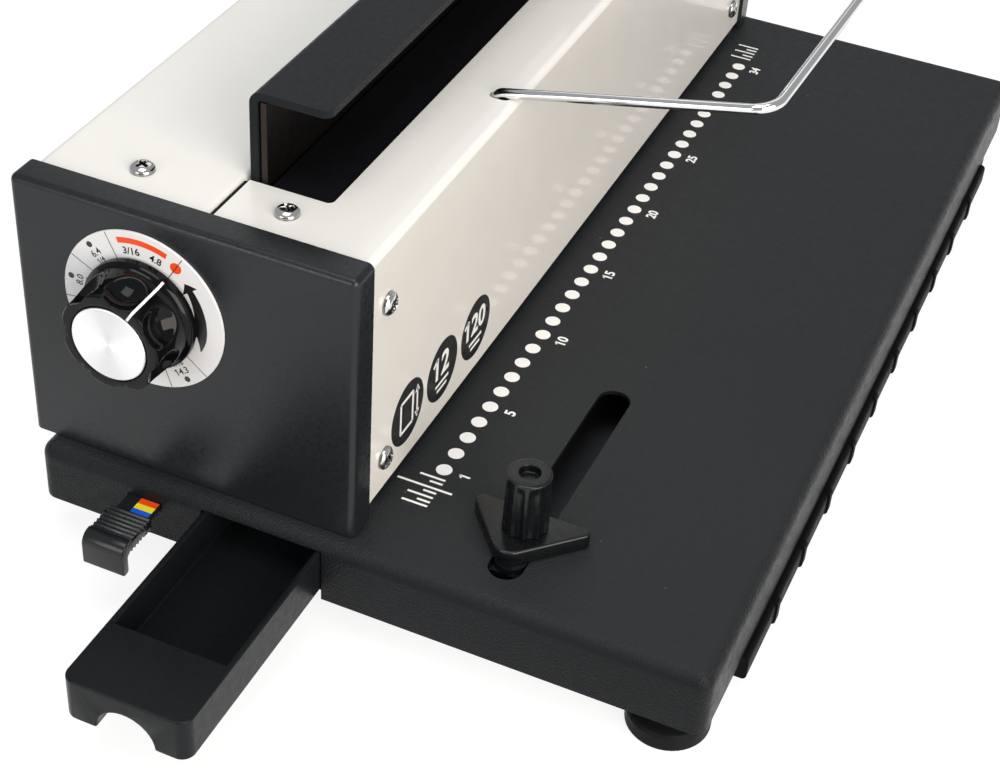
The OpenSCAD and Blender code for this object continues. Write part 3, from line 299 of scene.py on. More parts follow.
# Colours over a finish: specks of dust, painted shade in hollows and painted light on faces that look up
SPECK_GREY = (0.16, 0.16, 0.16, 1)
HOLLOW_SHADE_BLACK = (0.01, 0.01, 0.01, 1)
TOP_LIGHT_GREY = (0.155, 0.165, 0.175, 1)
SPECK_COVER = 0.6
# How much brushing slows the relief along X, and how far a turned face's gleam is drawn round it
BRUSHED_STRETCH = 0.04
TURNED_GLEAM = 0.85


@dataclass(frozen=True)
class Finish:
    """One surface finish: its colour, gloss, relief and dust, with any painted shade, sheen or light.

    Relief is a bump of fine noise; the tone drifts over a panel, or follows painted sheen sectors on a turned face, and
    the gloss follows the relief's mask.
    Painted shade darkens narrow hollows, reaching the given millimetres; painted light lightens faces that look up, by
    the given share.
    """

    name: str
    slot: str
    color: Color
    roughness: float
    metallic: float = 0.0
    specular: float = 0.5
    coat: float = 0.0
    coat_roughness: float = 0.1
    pattern: Pattern = Pattern.GRAIN
    cells: float = 1500.0
    depth: float = 0.1
    height: float = 0.00012
    drift: float = 0.12
    gloss_drift: float = 0.08
    dust: float = 0.0
    # Reach in millimetres of the painted shade in narrow hollows
    hollow: float = 0.0
    # Share of painted light that lightens faces looking up
    veil: float = 0.0

    @cache
    def material(self) -> bpy.types.Material:
        """Makes the material, once.

        Returns:
            The material.
        """
        material = bpy.data.materials.new(self.name)
        material.use_nodes = True
        sheet = NodeSheet(material.node_tree)
        stretch = BRUSHED_STRETCH if self.pattern is Pattern.BRUSHED else 1.0
        relief = sheet.add("Group", EffectGroups.relief(), Cells=self.cells, Along=stretch).outputs
        gloss = sheet.add("MapRange", Value=relief["Mask"], From_Min=0.3, From_Max=0.7,
                          To_Min=max(self.roughness - self.gloss_drift, 0.02),
                          To_Max=min(self.roughness + self.gloss_drift, 1.0))
        bump = sheet.add("Bump", Strength=self.depth, Distance=self.height, Height=relief["Height"])
        shader = sheet.add("BsdfPrincipled", Base_Color=self._tones(sheet), Roughness=gloss.outputs[0],
                           Normal=bump.outputs[0], Metallic=self.metallic, Specular_IOR_Level=self.specular,
                           Coat_Weight=self.coat, Coat_Roughness=self.coat_roughness)
        if self.pattern is Pattern.TURNED:
            shader.inputs["Anisotropic"].default_value = TURNED_GLEAM
            around = sheet.add("Tangent")
            around.direction_type, around.axis = "RADIAL", "X"
            sheet.feed(shader.inputs["Tangent"], around.outputs[0])
        sheet.add("OutputMaterial", Surface=shader.outputs[0])
        return material

    @staticmethod
    def _sectors(sheet: NodeSheet) -> Socket:
        """Painted sheen of a turned disc, light and dark sectors: 0.5 + 0.5 cos 2a, with a the angle round the disc's
        middle.

        Args:
            sheet: the material's sheet.

        Returns:
            The painted sheen's socket, from 0 to 1.
        """
        place = sheet.along("Generated")
        turn = sheet.math("ARCTAN2", *(sheet.math("SUBTRACT", place[axis], 0.5) for axis in "ZY"))
        wave = sheet.math("COSINE", sheet.math("MULTIPLY", turn, 2.0))
        return sheet.math("ADD", sheet.math("MULTIPLY", wave, 0.5), 0.5)

    def _tones(self, sheet: NodeSheet) -> Socket:
        """Mixes the colour's darker and lighter tones, then lays specks of dust, painted shade in hollows and painted
        light on upward faces over them.

        The painted shade darkens with the square of the open share of its surroundings, and the painted light's share
        follows the cube of the normal's height.

        Args:
            sheet: the material's sheet.

        Returns:
            The colour's socket.
        """
        turned = self.pattern is Pattern.TURNED
        # A turned face's tone follows painted sheen sectors; other faces a random cloud
        share = self._sectors(sheet) if turned else sheet.add("Group", EffectGroups.cloud()).outputs["Tone"]
        dark, light = ((*np.clip(np.array(self.color) * (1 + way * self.drift), 0, 1), 1) for way in (-1, 1))
        tone = sheet.mix(share, dark, light)
        if self.dust:
            specks = sheet.add("Group", EffectGroups.dust(), Share=self.dust).outputs["Speck"]
            tone = sheet.mix(sheet.math("MULTIPLY", specks, SPECK_COVER), tone, SPECK_GREY)
        # Painted shade: ambient occlusion darkens the colour in narrow hollows
        if self.hollow:
            open_share = sheet.add("AmbientOcclusion", Distance=self.hollow * MM).outputs["AO"]
            tone = sheet.mix(sheet.math("POWER", open_share, 2.0), HOLLOW_SHADE_BLACK, tone)
        # Painted light: faces that look up are lightened towards a pale grey
        if self.veil:
            level = sheet.math("POWER", sheet.math("MAXIMUM", sheet.along("Normal")["Z"], 0.0), 3.0)
            tone = sheet.mix(sheet.math("MULTIPLY", level, self.veil), tone, TOP_LIGHT_GREY)
        return tone


# The base's coat, with painted light on its upward faces
TEXTURED_BLACK = Finish("textured_black_coat", "textured_black", (0.0068, 0.0079, 0.0094), 0.36, specular=0.13,
                        cells=1300, depth=1.0, height=0.0004, drift=0.1, gloss_drift=0.07, dust=0.012, veil=0.1)
SMOOTH_BLACK = Finish("smooth_black_coat", "textured_black", (0.0112, 0.0129, 0.0152), 0.3, specular=0.34,
                      cells=2400, depth=0.35, drift=0.08, gloss_drift=0.06, dust=0.03)
BAR_BLACK = replace(SMOOTH_BLACK, name="bar_black_coat", color=(0.0148, 0.0166, 0.0192), roughness=0.38,
                    specular=0.08, dust=0.06)
WHITE_COAT = Finish("warm_white_coat", "white_coat", (0.82, 0.805, 0.765), 0.33, specular=0.25, cells=700,
                    depth=0.05, height=0.0001, drift=0.012, gloss_drift=0.05, coat=0.45, coat_roughness=0.06)
DARK_SHEET = Finish("dark_sheet_coat", "dark_sheet", (0.006, 0.0055, 0.007), 0.5, specular=0.12, depth=0.2)
FLOOR_SHEET = replace(DARK_SHEET, name="floor_sheet", color=(0.05, 0.052, 0.055), specular=0.15)
DARK_PLATE = Finish("dark_plate", "worn_steel", (0.0036, 0.003, 0.003), 0.45, specular=0.1, depth=0.2)
FRAME_STEEL = Finish("brushed_frame_steel", "frame_steel", (0.5, 0.51, 0.53), 0.35, metallic=1.0,
                     pattern=Pattern.BRUSHED, cells=900)
WORN_STEEL = Finish("worn_plate_steel", "worn_steel", (0.035, 0.026, 0.026), 0.5, metallic=0.3, specular=0.2,
                    cells=1600, depth=0.3, drift=0.3, gloss_drift=0.12)
BRIGHT_STEEL = Finish("plated_steel", "bright_steel", (0.82, 0.82, 0.83), 0.1, metallic=1.0, cells=500,
                      depth=0.03, drift=0.04, gloss_drift=0.05)
# Screw heads with painted shade in their cross recesses
SCREW_STEEL = replace(BRIGHT_STEEL, name="screw_steel", color=(0.72, 0.71, 0.69), roughness=0.14, hollow=1.6)
BRONZE = Finish("bush_bronze", "bronze", (0.5, 0.34, 0.15), 0.35, metallic=1.0, cells=900)
DIAL_WHITE = Finish("dial_white_print", "dial_white", (0.84, 0.84, 0.85), 0.38, cells=600, depth=0.03, drift=0.01)
GLOSS_BLACK = Finish("gloss_black_plastic", "gloss_black", (0.0022, 0.0025, 0.003), 0.1, specular=0.2, cells=900,
                     depth=0.05, drift=0.2, gloss_drift=0.05)
# Its drift sets the depth of the painted sheen sectors round the face
TURNED_FACE = Finish("turned_alloy", "turned_face", (0.9, 0.9, 0.91), 0.3, metallic=0.9, pattern=Pattern.TURNED,
                     depth=0.03, drift=0.14, gloss_drift=0.05)
MATTE_BLACK = Finish("matte_black_plastic", "matte_black", (0.0074, 0.0088, 0.0102), 0.32, specular=0.15,
                     cells=1700, depth=0.18, drift=0.1, gloss_drift=0.07)
THUMB_BLACK = replace(MATTE_BLACK, name="thumb_black_plastic", color=(0.0085, 0.0095, 0.0106), roughness=0.24,
                      specular=0.38)
GUIDE_BLACK = replace(MATTE_BLACK, name="guide_black_plastic", color=(0.0036, 0.0044, 0.0053), roughness=0.26,
                      specular=0.42)
RUBBER = Finish("moulded_rubber", "rubber", (0.0075, 0.0082, 0.009), 0.5, specular=0.08, cells=1300, depth=0.25,
                drift=0.15)
STRIP_RUBBER = replace(RUBBER, name="strip_rubber", color=(0.004, 0.004, 0.0045), roughness=0.55, specular=0.07,
                       depth=0.2)
WHITE_INK = Finish("white_ink", "dial_white", (0.95, 0.95, 0.94), 0.5, depth=0.08, drift=0.03)
BLACK_INK = Finish("black_ink", "gloss_black", (0.008, 0.008, 0.009), 0.35, cells=1200, depth=0.04, drift=0.1)
RED_INK, YELLOW_INK, BLUE_INK = (
    Finish(f"{name}_ink", "dial_white", color, 0.4, cells=1200, depth=0.04, drift=0.05)
    for name, color in (("red", (0.9, 0.08, 0.01)), ("yellow", (0.95, 0.78, 0.02)), ("blue", (0.01, 0.12, 0.75))))


# Mesh making


def circle(sides: int) -> Array:
    """Evenly spaced angles round a full turn."""
    return np.linspace(0, 2 * np.pi, sides, endpoint=False)


def heading(turn: Array | float) -> Array:
    """Unit directions in a plane, at angles in radians."""
    return np.stack([np.cos(turn), np.sin(turn)], -1)


def grid_quads(rows: int, columns: int) -> list[Face]:
    """Faces of a tube of points laid out ring after ring.

    Args:
        rows: number of rings.
        columns: number of points on a ring.

    Returns:
        The quads.
    """
    i = np.arange(rows - 1)[:, None] * columns
    j = np.arange(columns)[None, :]
    k = (j + 1) % columns
    return np.stack([i + j, i + k, i + columns + k, i + columns + j], -1).reshape(-1, 4).tolist()


def capped_quads(rows: int, columns: int) -> list[Face]:
    """Faces of a tube of rings, with a flat face over its first and its last ring.

    Args:
        rows: number of rings.
        columns: number of points on a ring.

    Returns:
        The faces.
    """
    first = list(range(columns))[::-1]
    last = list(range((rows - 1) * columns, rows * columns))
    return grid_quads(rows, columns) + [first, last]


def turned_points(profile: Sequence[Point], sides: int = 72,
                  wall: Callable[[Array, Array], Array] | None = None, soft: float = 0.3) -> Array:
    """A profile of radius and height carried round Z; cuts may leave walls that the radius ends at.

    What lies x outside a wall goes, with its edge softened: the loss is (x + sqrt(x^2 + soft^2)) / 2.

    Args:
        profile: radius and height of each ring.
        sides: points on a ring.
        wall: takes heights and angles, and gives the radius of the cuts' walls there.
        soft: size of the softened edge.

    Returns:
        The points, ring after ring.
    """
    line = np.array(profile, float)
    radius, height = line[:, :1], line[:, 1:]
    turn = circle(sides)[None, :]
    if wall:
        outside = radius - wall(height, turn)
        radius = radius - (outside + np.sqrt(outside ** 2 + soft ** 2)) / 2
    return np.stack(np.broadcast_arrays(radius * np.cos(turn), radius * np.sin(turn), height), -1).reshape(-1, 3)


def round_cut(turn: Array, count: int, start: float, distance: float, radius: float,
              away: Array | float = 0.0) -> Array:
    """Wall that round cutters leave, spaced evenly about an axis.

    A cutter of radius b at distance c leaves, at an angle d from its own, the wall
    c cos d - sqrt(b^2 - h^2 - c^2 sin^2 d), where h is the height from a ball's middle and 0 for a cylinder.

    Args:
        turn: angles at which the wall is wanted.
        count: number of cutters.
        start: angle of the first.
        distance: of the cutters' middles from the axis.
        radius: of a cutter.
        away: height from the cutters' middles.

    Returns:
        The wall's radius, far out where nothing is cut.
    """
    pitch = 2 * np.pi / count
    off = (turn - start + pitch / 2) % pitch - pitch / 2
    under = radius ** 2 - away ** 2 - (distance * np.sin(off)) ** 2
    return np.where(under > 0, distance * np.cos(off) - np.sqrt(np.maximum(under, 0)), 3 * distance)


def rounded_line(corners: Sequence[Point], radius: float, steps: int = 4) -> list[Point]:
    """A line whose inner corners are replaced by short quadratic curves.

    Each corner p between its neighbours a and b becomes the curve from p + t(a-p) to p + t(b-p), with the
    cut length no more than the radius or 0.45 of a side.

    Args:
        corners: the line's corners.
        radius: how far from a corner its curve starts.
        steps: points on each curve, less one.

    Returns:
        The line's points.
    """
    line = np.array(corners, float)
    before, at, after = line[:-2], line[1:-1], line[2:]

    def toward(other: Array) -> Array:
        """Where the curves meet the sides that lead to other points.

        Args:
            other: a neighbour of each corner.

        Returns:
            The points, one for each corner.
        """
        way = other - at
        length = np.linalg.norm(way, axis=1, keepdims=True)
        return at + way / length * np.minimum(radius, 0.45 * length)

    t = np.linspace(0, 1, steps + 1)[None, :, None]
    curve = (1 - t) ** 2 * toward(before)[:, None] + 2 * t * (1 - t) * at[:, None] + t ** 2 * toward(after)[:, None]
    return [tuple(line[0]), *map(tuple, curve.reshape(-1, 2)), tuple(line[-1])]


def inset_loop(loop: Array, distance: float) -> Array:
    """A closed plane loop, counter-clockwise, moved inwards along its own normals.

    Args:
        loop: the loop's points.
        distance: how far they are moved.

    Returns:
        The moved points.
    """
    along = np.roll(loop, -1, 0) - np.roll(loop, 1, 0)
    along /= np.linalg.norm(along, axis=1, keepdims=True) + 1e-12
    return loop + distance * np.stack([-along[:, 1], along[:, 0]], -1)


def soft_slab(loop: Array, low: float, high: float, low_r: float, high_r: float, steps: int = 5) -> Form:
    """A closed loop raised into a slab whose lower and upper rims are quarter rounds.

    The loop is moved inwards by r(1 - cos a) where the height is r(1 - sin a) from a rim.

    Args:
        loop: points of the outline, counter-clockwise.
        low: height of the underside.
        high: height of the top.
        low_r: radius of the lower rim.
        high_r: radius of the upper rim.
        steps: rings on a rim.

    Returns:
        The points and the faces.
    """
    turn = np.linspace(np.pi / 2, 0, steps)
    rims = [(low_r * (1 - np.cos(a)), low + low_r * (1 - np.sin(a))) for a in turn]
    rims += [(high_r * (1 - np.cos(a)), high - high_r * (1 - np.sin(a))) for a in turn[::-1]]
    rings = [np.column_stack([inset_loop(loop, d), np.full(len(loop), h)]) for d, h in rims]
    return np.concatenate(rings), capped_quads(len(rings), len(loop))


def joined(parts: Sequence[Form]) -> Form:
    """Several meshes as one, with their face numbers moved along.

    Args:
        parts: the meshes.

    Returns:
        All their points and faces.
    """
    starts = np.cumsum([0] + [len(points) for points, _ in parts])
    faces = [[v + int(start) for v in face] for (_, own), start in zip(parts, starts) for face in own]
    return np.concatenate([points for points, _ in parts]), faces


def set_in(points: Array, origin: Place, right: Place, up: Place) -> Array:
    """Points of a plane piece placed by an origin and two directions; the third stands out of the plane."""
    right_v, up_v = np.array(right, float), np.array(up, float)
    return np.array(origin, float) + points @ np.stack([right_v, up_v, np.cross(right_v, up_v)])


# How close in metres points are one, on pieces drawn here and on solids
DRAWN_MERGE = 2e-6
SOLID_MERGE = 1e-5
# Angles in degrees: up to the first a solid's faces are one, over the second its edges are rounded or sharp
FLAT_ANGLE = 0.6
EDGE_CREASE = 35.0


@contextmanager
def edited(mesh: bpy.types.Mesh, reach: float) -> Iterator[bmesh.types.BMesh]:
    """Opens a mesh for editing with its doubles merged, and writes it back.

    Args:
        mesh: the mesh.
        reach: how close in metres points are one.

    Yields:
        The mesh while it is open.
    """
    work = bmesh.new()
    work.from_mesh(mesh)
    bmesh.ops.remove_doubles(work, verts=work.verts, dist=reach)
    yield work
    work.to_mesh(mesh)
    work.free()


class Shop:
    """Makes objects, dresses them and hangs them on their bodies."""

    def __init__(self) -> None:
        """Starts with an empty list of pieces."""
        self.made: list[str] = []

    def piece(self, name: str, points: Array, faces: list[Face], body: str, finish: Finish,
              replaces: Sequence[str] = (), crease: float = 40.0) -> None:
        """Makes one closed piece from points in the machine frame.

        Args:
            name: the piece's name.
            points: its points, in millimetres.
            faces: its faces.
            body: the body that it rides on.
            finish: its finish.
            replaces: the solids that it stands for.
            crease: angle in degrees over which an edge stays sharp.
        """
        mesh = bpy.data.meshes.new(name)
        mesh.from_pydata(((points + SHIFT) * MM).tolist(), [], faces)
        with edited(mesh, DRAWN_MERGE) as work:
            bmesh.ops.recalc_face_normals(work, faces=work.faces)
        self._dress(name, mesh, body, finish, replaces, crease)

    def refined(self, node: str, finish: Finish, edge: float = 0.0, turns: int = 2) -> None:
        """Copies a solid, merges its loose triangles and rounds its sharp edges.

        Args:
            node: the solid's name.
            finish: the copy's finish.
            edge: width of the rounded edges, in millimetres.
            turns: segments of a rounded edge.
        """
        mesh = frame["nodes"][node].data.copy()
        with edited(mesh, SOLID_MERGE) as work:
            bmesh.ops.dissolve_limit(work, angle_limit=np.radians(FLAT_ANGLE), verts=work.verts, edges=work.edges)
        body = frame["nodes"][node]["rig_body"]
        made = self._dress(node + "_dressed", mesh, body, finish, [node], EDGE_CREASE)
        if edge:
            bevel = made.modifiers.new("edge", "BEVEL")
            bevel.width = edge * MM
            bevel.segments = turns
            bevel.limit_method = "ANGLE"
            bevel.angle_limit = np.radians(EDGE_CREASE)
            bevel.harden_normals = True

    def paint(self, nodes: Sequence[str], finish: Finish) -> None:
        """Gives solids that keep their own shape a finish.

        Args:
            nodes: the solids' names.
            finish: their finish.
        """
        for node in nodes:
            data = frame["nodes"][node].data
            data.materials.clear()
            data.materials.append(finish.material())
            self.made.append(node)

    def _dress(self, name: str, mesh: bpy.types.Mesh, body: str, finish: Finish, replaces: Sequence[str],
               crease: float) -> bpy.types.Object:
        """Shades a mesh, links its object and hangs it on its body.

        Args:
            name: the object's name.
            mesh: its mesh.
            body: the body that it rides on.
            finish: its finish.
            replaces: the solids that it stands for.
            crease: angle in degrees over which an edge stays sharp.

        Returns:
            The object.
        """
        mesh.polygons.foreach_set("use_smooth", np.ones(len(mesh.polygons), bool))
        mesh.set_sharp_from_angle(angle=np.radians(crease))
        mesh.materials.clear()
        mesh.materials.append(finish.material())
        made = linked(name, mesh)
        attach(made, body)
        if replaces:
            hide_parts(*replaces)
        self.made.append(name)
        LOG.info("%s rides on %s", name, body)
        return made


class PrintSheet:
    """Flat marks of one ink on one plane, raised by the thickness of the ink."""

    def __init__(self, thickness: float = 0.05) -> None:
        """Starts with a bare sheet."""
        self.thickness = thickness
        self.parts: list[Form] = []

    def loop(self, points: Array) -> None:
        """Adds a closed loop as a thin slab.

        Args:
            points: the loop's points in the plane.
        """
        n = len(points)
        rings = [np.column_stack([points, np.full(n, h)]) for h in (0.0, self.thickness)]
        self.parts.append((np.concatenate(rings), capped_quads(2, n)))

    def disc(self, x: float, y: float, r: float, sides: int = 40) -> None:
        """Adds a round dot."""
        self.loop((x, y) + r * heading(circle(sides)))

    def box(self, left: float, right: float, low: float, high: float) -> None:
        """Adds a rectangle."""
        self.loop(np.array([(left, low), (right, low), (right, high), (left, high)]))

    def bar(self, start: Point | Array, end: Point | Array, width: float) -> None:
        """Adds a straight line of some width.

        Args:
            start: the middle of its first end.
            end: the middle of its last end.
            width: its width.
        """
        a, b = np.array(start, float), np.array(end, float)
        way = (b - a) / np.linalg.norm(b - a)
        side = np.array([-way[1], way[0]]) * width / 2
        self.loop(np.array([a - side, b - side, b + side, a + side]))

    def band(self, start: float, end: float, inner: Point, outer: Point, steps: int = 24) -> None:
        """Adds part of a ring round the plane's origin.

        Args:
            start: angle of its first end, in degrees.
            end: angle of its last end.
            inner: radius of its inner edge at both ends.
            outer: radius of its outer edge at both ends.
            steps: points on an edge.
        """
        ring = heading(np.radians(np.linspace(start, end, steps)))
        edges = [ring * np.linspace(*edge, steps)[:, None] for edge in (outer, inner)]
        self.loop(np.concatenate([edges[0], edges[1][::-1]]))

    def words(self, text: str, x: float, y: float, size: float, turn: float = 0.0, heavy: float = 0.0) -> None:
        """Adds figures, centred on a point.

        Args:
            text: the figures.
            x: where their middle is.
            y: where their middle is.
            size: their height.
            turn: angle of their line, in degrees.
            heavy: how much their strokes are thickened.
        """
        curve = bpy.data.curves.new("figures", "FONT")
        curve.body, curve.size, curve.align_x, curve.align_y = text, size * 1.35, "CENTER", "CENTER"
        curve.offset, curve.extrude = heavy, self.thickness / 2
        holder = linked("figures", curve)
        mesh = bpy.data.meshes.new_from_object(holder.evaluated_get(bpy.context.evaluated_depsgraph_get()))
        points = np.empty(len(mesh.vertices) * 3)
        mesh.vertices.foreach_get("co", points)
        faces = [list(polygon.vertices) for polygon in mesh.polygons]
        bpy.data.objects.remove(holder)
        bpy.data.curves.remove(curve)
        bpy.data.meshes.remove(mesh)
        points = points.reshape(-1, 3)
        middle = (points.min(0) + points.max(0)) / 2
        c, s = heading(np.radians(turn))
        spin = np.array([[c, s], [-s, c]])
        level = (points - middle)[:, :2]
        self.parts.append((np.column_stack([level @ spin + (x, y), points[:, 2] + self.thickness / 2]), faces))
        if text.startswith("1"):
            # The font's figure one is a bare stroke, so it is given its flag
            tip = np.array([level[:, 0].min(), level[:, 1].max()])
            ends = (tip + np.array([[0.1, -0.05], [-0.2, -0.27]]) * size) @ spin + (x, y)
            self.bar(*ends, 0.11 * size + heavy)

    def build(self, shop: Shop, name: str, body: str, ink: Finish, origin: Place = ORIGIN,
              right: Place = RIGHT, up: Place = UP) -> None:
        """Makes the sheet's marks one piece on a plane.

        Args:
            shop: the workshop.
            name: the piece's name.
            body: the body that it rides on.
            ink: its finish.
            origin: the plane's zero point, in the machine frame.
            right: the plane's first direction.
            up: the plane's second direction.
        """
        points, faces = joined(self.parts)
        shop.piece(name, set_in(points, origin, right, up), faces, body, ink)


# Sub-assemblies


@dataclass
class BasePlate:
    """Folded base with its printed rule, its feet and its ribbed front strip."""

    shop: Shop
    hole_count: int = 34
    hole_pitch: float = 8.4667
    dot_r: float = 2.5
    dot_y: float = -11.4
    label_y: float = -18.2
    label_h: float = 3.6
    edge: float = 0.35
    tick_w: float = 0.8
    long_tick: Point = (-0.3, -18.2)
    mid_tick: Point = (-5.6, -13.9)
    short_tick: Point = (-9.7, -13.9)
    long_x: Row = (-148.8,)
    mid_x: Row = (-144.2, -152.9, -156.9, 147.3, 152.5, 157.4)
    short_x: Row = (-146.2, -150.7, -155.0, 149.8, 155.0)
    numbers: tuple[int, ...] = (1, 5, 10, 15, 20, 25, 30, 34)

    def build(self) -> None:
        """Dresses the base, then prints its rule."""
        self.shop.refined("base_pan", TEXTURED_BLACK, self.edge)
        self.shop.refined("bottom_plate", FLOOR_SHEET, edge=0.2)
        self.shop.refined("rubber_feet", RUBBER, edge=0.4)
        self.shop.refined("front_strip", STRIP_RUBBER, edge=0.3)
        self.shop.refined("foot_screws", BRIGHT_STEEL)
        self.rule()

    def rule(self) -> None:
        """Dots over the holes, numbers beside some of them, and the size lines at both ends."""
        sheet = PrintSheet()
        first = -(self.hole_count - 1) * self.hole_pitch / 2
        for i in range(self.hole_count):
            sheet.disc(first + i * self.hole_pitch, self.dot_y, self.dot_r)
        for number in self.numbers:
            x = first + (number - 1) * self.hole_pitch
            sheet.words(str(number), x, self.label_y, self.label_h, heavy=0.13)
        ticks = (self.long_tick, self.long_x), (self.mid_tick, self.mid_x), (self.short_tick, self.short_x)
        for (start, end), places in ticks:
            for x in places:
                sheet.bar((x, start), (x, end), self.tick_w)
        sheet.build(self.shop, "base_rule", "machine", WHITE_INK, up=BACK)


@dataclass
class CoverShell:
    """White covers, black end caps, their screws, a painted shade strip in the gap between the covers and the round
    badges on the front.
    """

    shop: Shop
    edge: float = 0.3
    screw_r: float = 3.6
    screw_h: float = 2.2
    screw_x: float = 158.2
    screw_turn: Point = (0.7, 2.1)
    rim_drop: float = 0.55
    recess_r: float = 2.1
    recess_w: float = 0.55
    recess_h: float = 1.3
    arm_slope: float = 0.18
    end_slope: float = 0.5
    top_z: float = 89.0
    top_screws: Point = (31.0, 76.5)
    front_screws: Point = (14.5, 70.0)
    badge_r: float = 10.75
    badge_t: float = 0.06
    # Where the painted shade strip lies in the gap between the covers
    seam_x: Point = (148.4, 171.5)
    seam_y: Point = (48.3, 49.7)
    seam_z: float = 87.95
    seam_t: float = 0.4
    badges: Line = ((-142.8, 20.3), (-118.8, 19.8), (-94.3, 19.3))
    figures: tuple[tuple[str, float], ...] = (("12", 8.6), ("120", 7.8))
    figure_up: float = 2.2
    under_bars: Line = ((4.6, 4.6), (6.8, 3.4))
    under_w: float = 1.0
    page_frame: Line = ((-4.6, -5.6), (3.4, -5.6), (3.4, 5.6), (-4.6, 5.6))
    page_w: float = 1.1
    arrow: Line = ((6.4, -5.2), (6.4, 5.2))
    arrow_w: float = 0.9
    arrow_head: Line = ((6.4, 6.2), (7.9, 3.6), (4.9, 3.6))

    def build(self) -> None:
        """Dresses the sheet parts, then adds screws, the painted shade in the cover gap and badges."""
        for node in ("left_end_cap", "right_end_cap"):
            self.shop.refined(node, SMOOTH_BLACK, self.edge)
        for node in ("front_cover", "back_cover"):
            self.shop.refined(node, WHITE_COAT, self.edge)
        self.screws()
        self.seam()
        self.badge_marks()

    def head(self) -> Form:
        """A pan head with a cross recess, as a height over a polar grid.

        The height is a flat dome, h(1 - d(r/R)^4) with the drop d at the rim, less a cross: the recess is deep
        where the smaller of the two distances from the arms' axes is under half an arm's width.

        Returns:
            Points and faces of a head that stands on z = 0.
        """
        rings, sides = 26, 72
        r = (np.linspace(0.02, 1, rings) ** 0.8)[:, None] * self.screw_r
        turn = circle(sides)[None, :]
        x, y = r * np.cos(turn), r * np.sin(turn)
        dome = self.screw_h * (1 - self.rim_drop * (r / self.screw_r) ** 4) + 0 * turn
        arm = np.minimum(np.abs(x), np.abs(y))
        reach = np.maximum(np.abs(x), np.abs(y))
        cut = np.clip((self.recess_w - arm) / self.arm_slope, 0, 1)
        cut *= np.clip((self.recess_r - reach) / self.end_slope, 0, 1)
        top = np.stack([x, y, dome - self.recess_h * cut], -1).reshape(-1, 3)
        rim = top[-sides:] * (1, 1, 0)
        return np.concatenate([top, rim]), capped_quads(rings + 1, sides)

    def screws(self) -> None:
        """Eight cover screws: two on the top and two on the front at each end, each turned a little differently."""
        points, faces = self.head()
        places = []
        for side in (-1, 1):
            x = side * self.screw_x
            places += [((x, y, self.top_z), BACK) for y in self.top_screws]
            places += [((x, 0, z), UP) for z in self.front_screws]
        parts = []
        first, step = self.screw_turn
        for i, (origin, up) in enumerate(places):
            c, s = heading(first + step * i)
            turned = points @ np.array([[c, s, 0], [-s, c, 0], [0, 0, 1]])
            parts.append((set_in(turned, origin, RIGHT, up), faces))
        heads, all_faces = joined(parts)
        self.shop.piece("cover_screw_heads", heads, all_faces, "machine", SCREW_STEEL, ["cover_screws"], crease=50)

    def seam(self) -> None:
        """Painted shade: a dark strip in the gap between the covers, at each end of the recess."""
        strip = PrintSheet(self.seam_t)
        for side in (-1, 1):
            first, last = sorted(side * x for x in self.seam_x)
            strip.box(first, last, *self.seam_y)
        strip.build(self.shop, "cover_seam_shade", "machine", DARK_SHEET, (0, 0, self.seam_z), up=BACK)

    def badge_marks(self) -> None:
        """Three black discs with plain white figures and bars."""
        discs, marks = PrintSheet(self.badge_t), PrintSheet()
        for x, z in self.badges:
            discs.disc(x, z, self.badge_r, 64)
        self.page(marks, *self.badges[0])
        for (x, z), (text, height) in zip(self.badges[1:], self.figures):
            marks.words(text, x, z + self.figure_up, height, heavy=0.25)
            for drop, half in self.under_bars:
                marks.bar((x - half, z - drop), (x + half, z - drop), self.under_w)
        discs.build(self.shop, "cover_badges", "machine", BLACK_INK)
        marks.build(self.shop, "cover_badge_marks", "machine", WHITE_INK, (0, -self.badge_t, 0))

    def page(self, sheet: PrintSheet, x: float, z: float) -> None:
        """A sheet of paper with a double arrow beside its long edge, round a middle.

        Args:
            sheet: the sheet of white marks.
            x: where the badge's middle is.
            z: where the badge's middle is.
        """
        middle = np.array([x, z])
        frame_line = middle + self.page_frame
        for start, end in zip(frame_line, np.roll(frame_line, -1, 0)):
            sheet.bar(start, end, self.page_w)
        sheet.bar(*(middle + self.arrow), self.arrow_w)
        for way in (1, -1):
            sheet.loop(middle + np.array(self.arrow_head) * (1, way))


@dataclass
class ClosingHead:
    """Closing bar, its steel plate, the bed below it and the beam that carries them."""

    shop: Shop
    edge: float = 0.4
    bare_in: Point = (0.25, 0.3)
    bare_t: float = 0.04

    def build(self) -> None:
        """Dresses what shows of the closing head, and paints what is inside."""
        self.shop.refined("closing_bar", BAR_BLACK, self.edge, turns=3)
        self.shop.refined("backing_plate", DARK_PLATE, edge=0.15)
        self.plate_edges()
        self.shop.refined("closing_bed", DARK_SHEET, edge=0.2)
        self.shop.paint(["left_side_frame", "right_side_frame", "punch_guide", "die_plate", "punch_beam",
                         "bar_brackets", "racks", "pinions", "stop_lug", "stop_cam", "paper_stop"], FRAME_STEEL)
        self.shop.paint(["frame_screws", "beam_posts", "drive_shaft", "punch_pins", "bar_screws", "return_springs",
                         "knob_spindle", "hub_screw"], BRIGHT_STEEL)
        self.shop.paint(["shaft_bushes", "knob_bush"], BRONZE)
        self.shop.paint(["tray_rails"], DARK_SHEET)

    def plate_edges(self) -> None:
        """Bare sawn edges at both ends of the steel plate."""
        low, high = (np.array(corner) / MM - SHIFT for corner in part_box("backing_plate"))
        side, end = self.bare_in
        for name, x, way in (("left", low[0], -1.0), ("right", high[0], 1.0)):
            edge = PrintSheet(self.bare_t)
            middle = way * (low[1] + high[1]) / 2
            edge.bar((middle, low[2] + end), (middle, high[2] - end), high[1] - low[1] - 2 * side)
            edge.build(self.shop, f"plate_edge_{name}", "beam", WORN_STEEL, (x, 0, 0), (0, way, 0), UP)


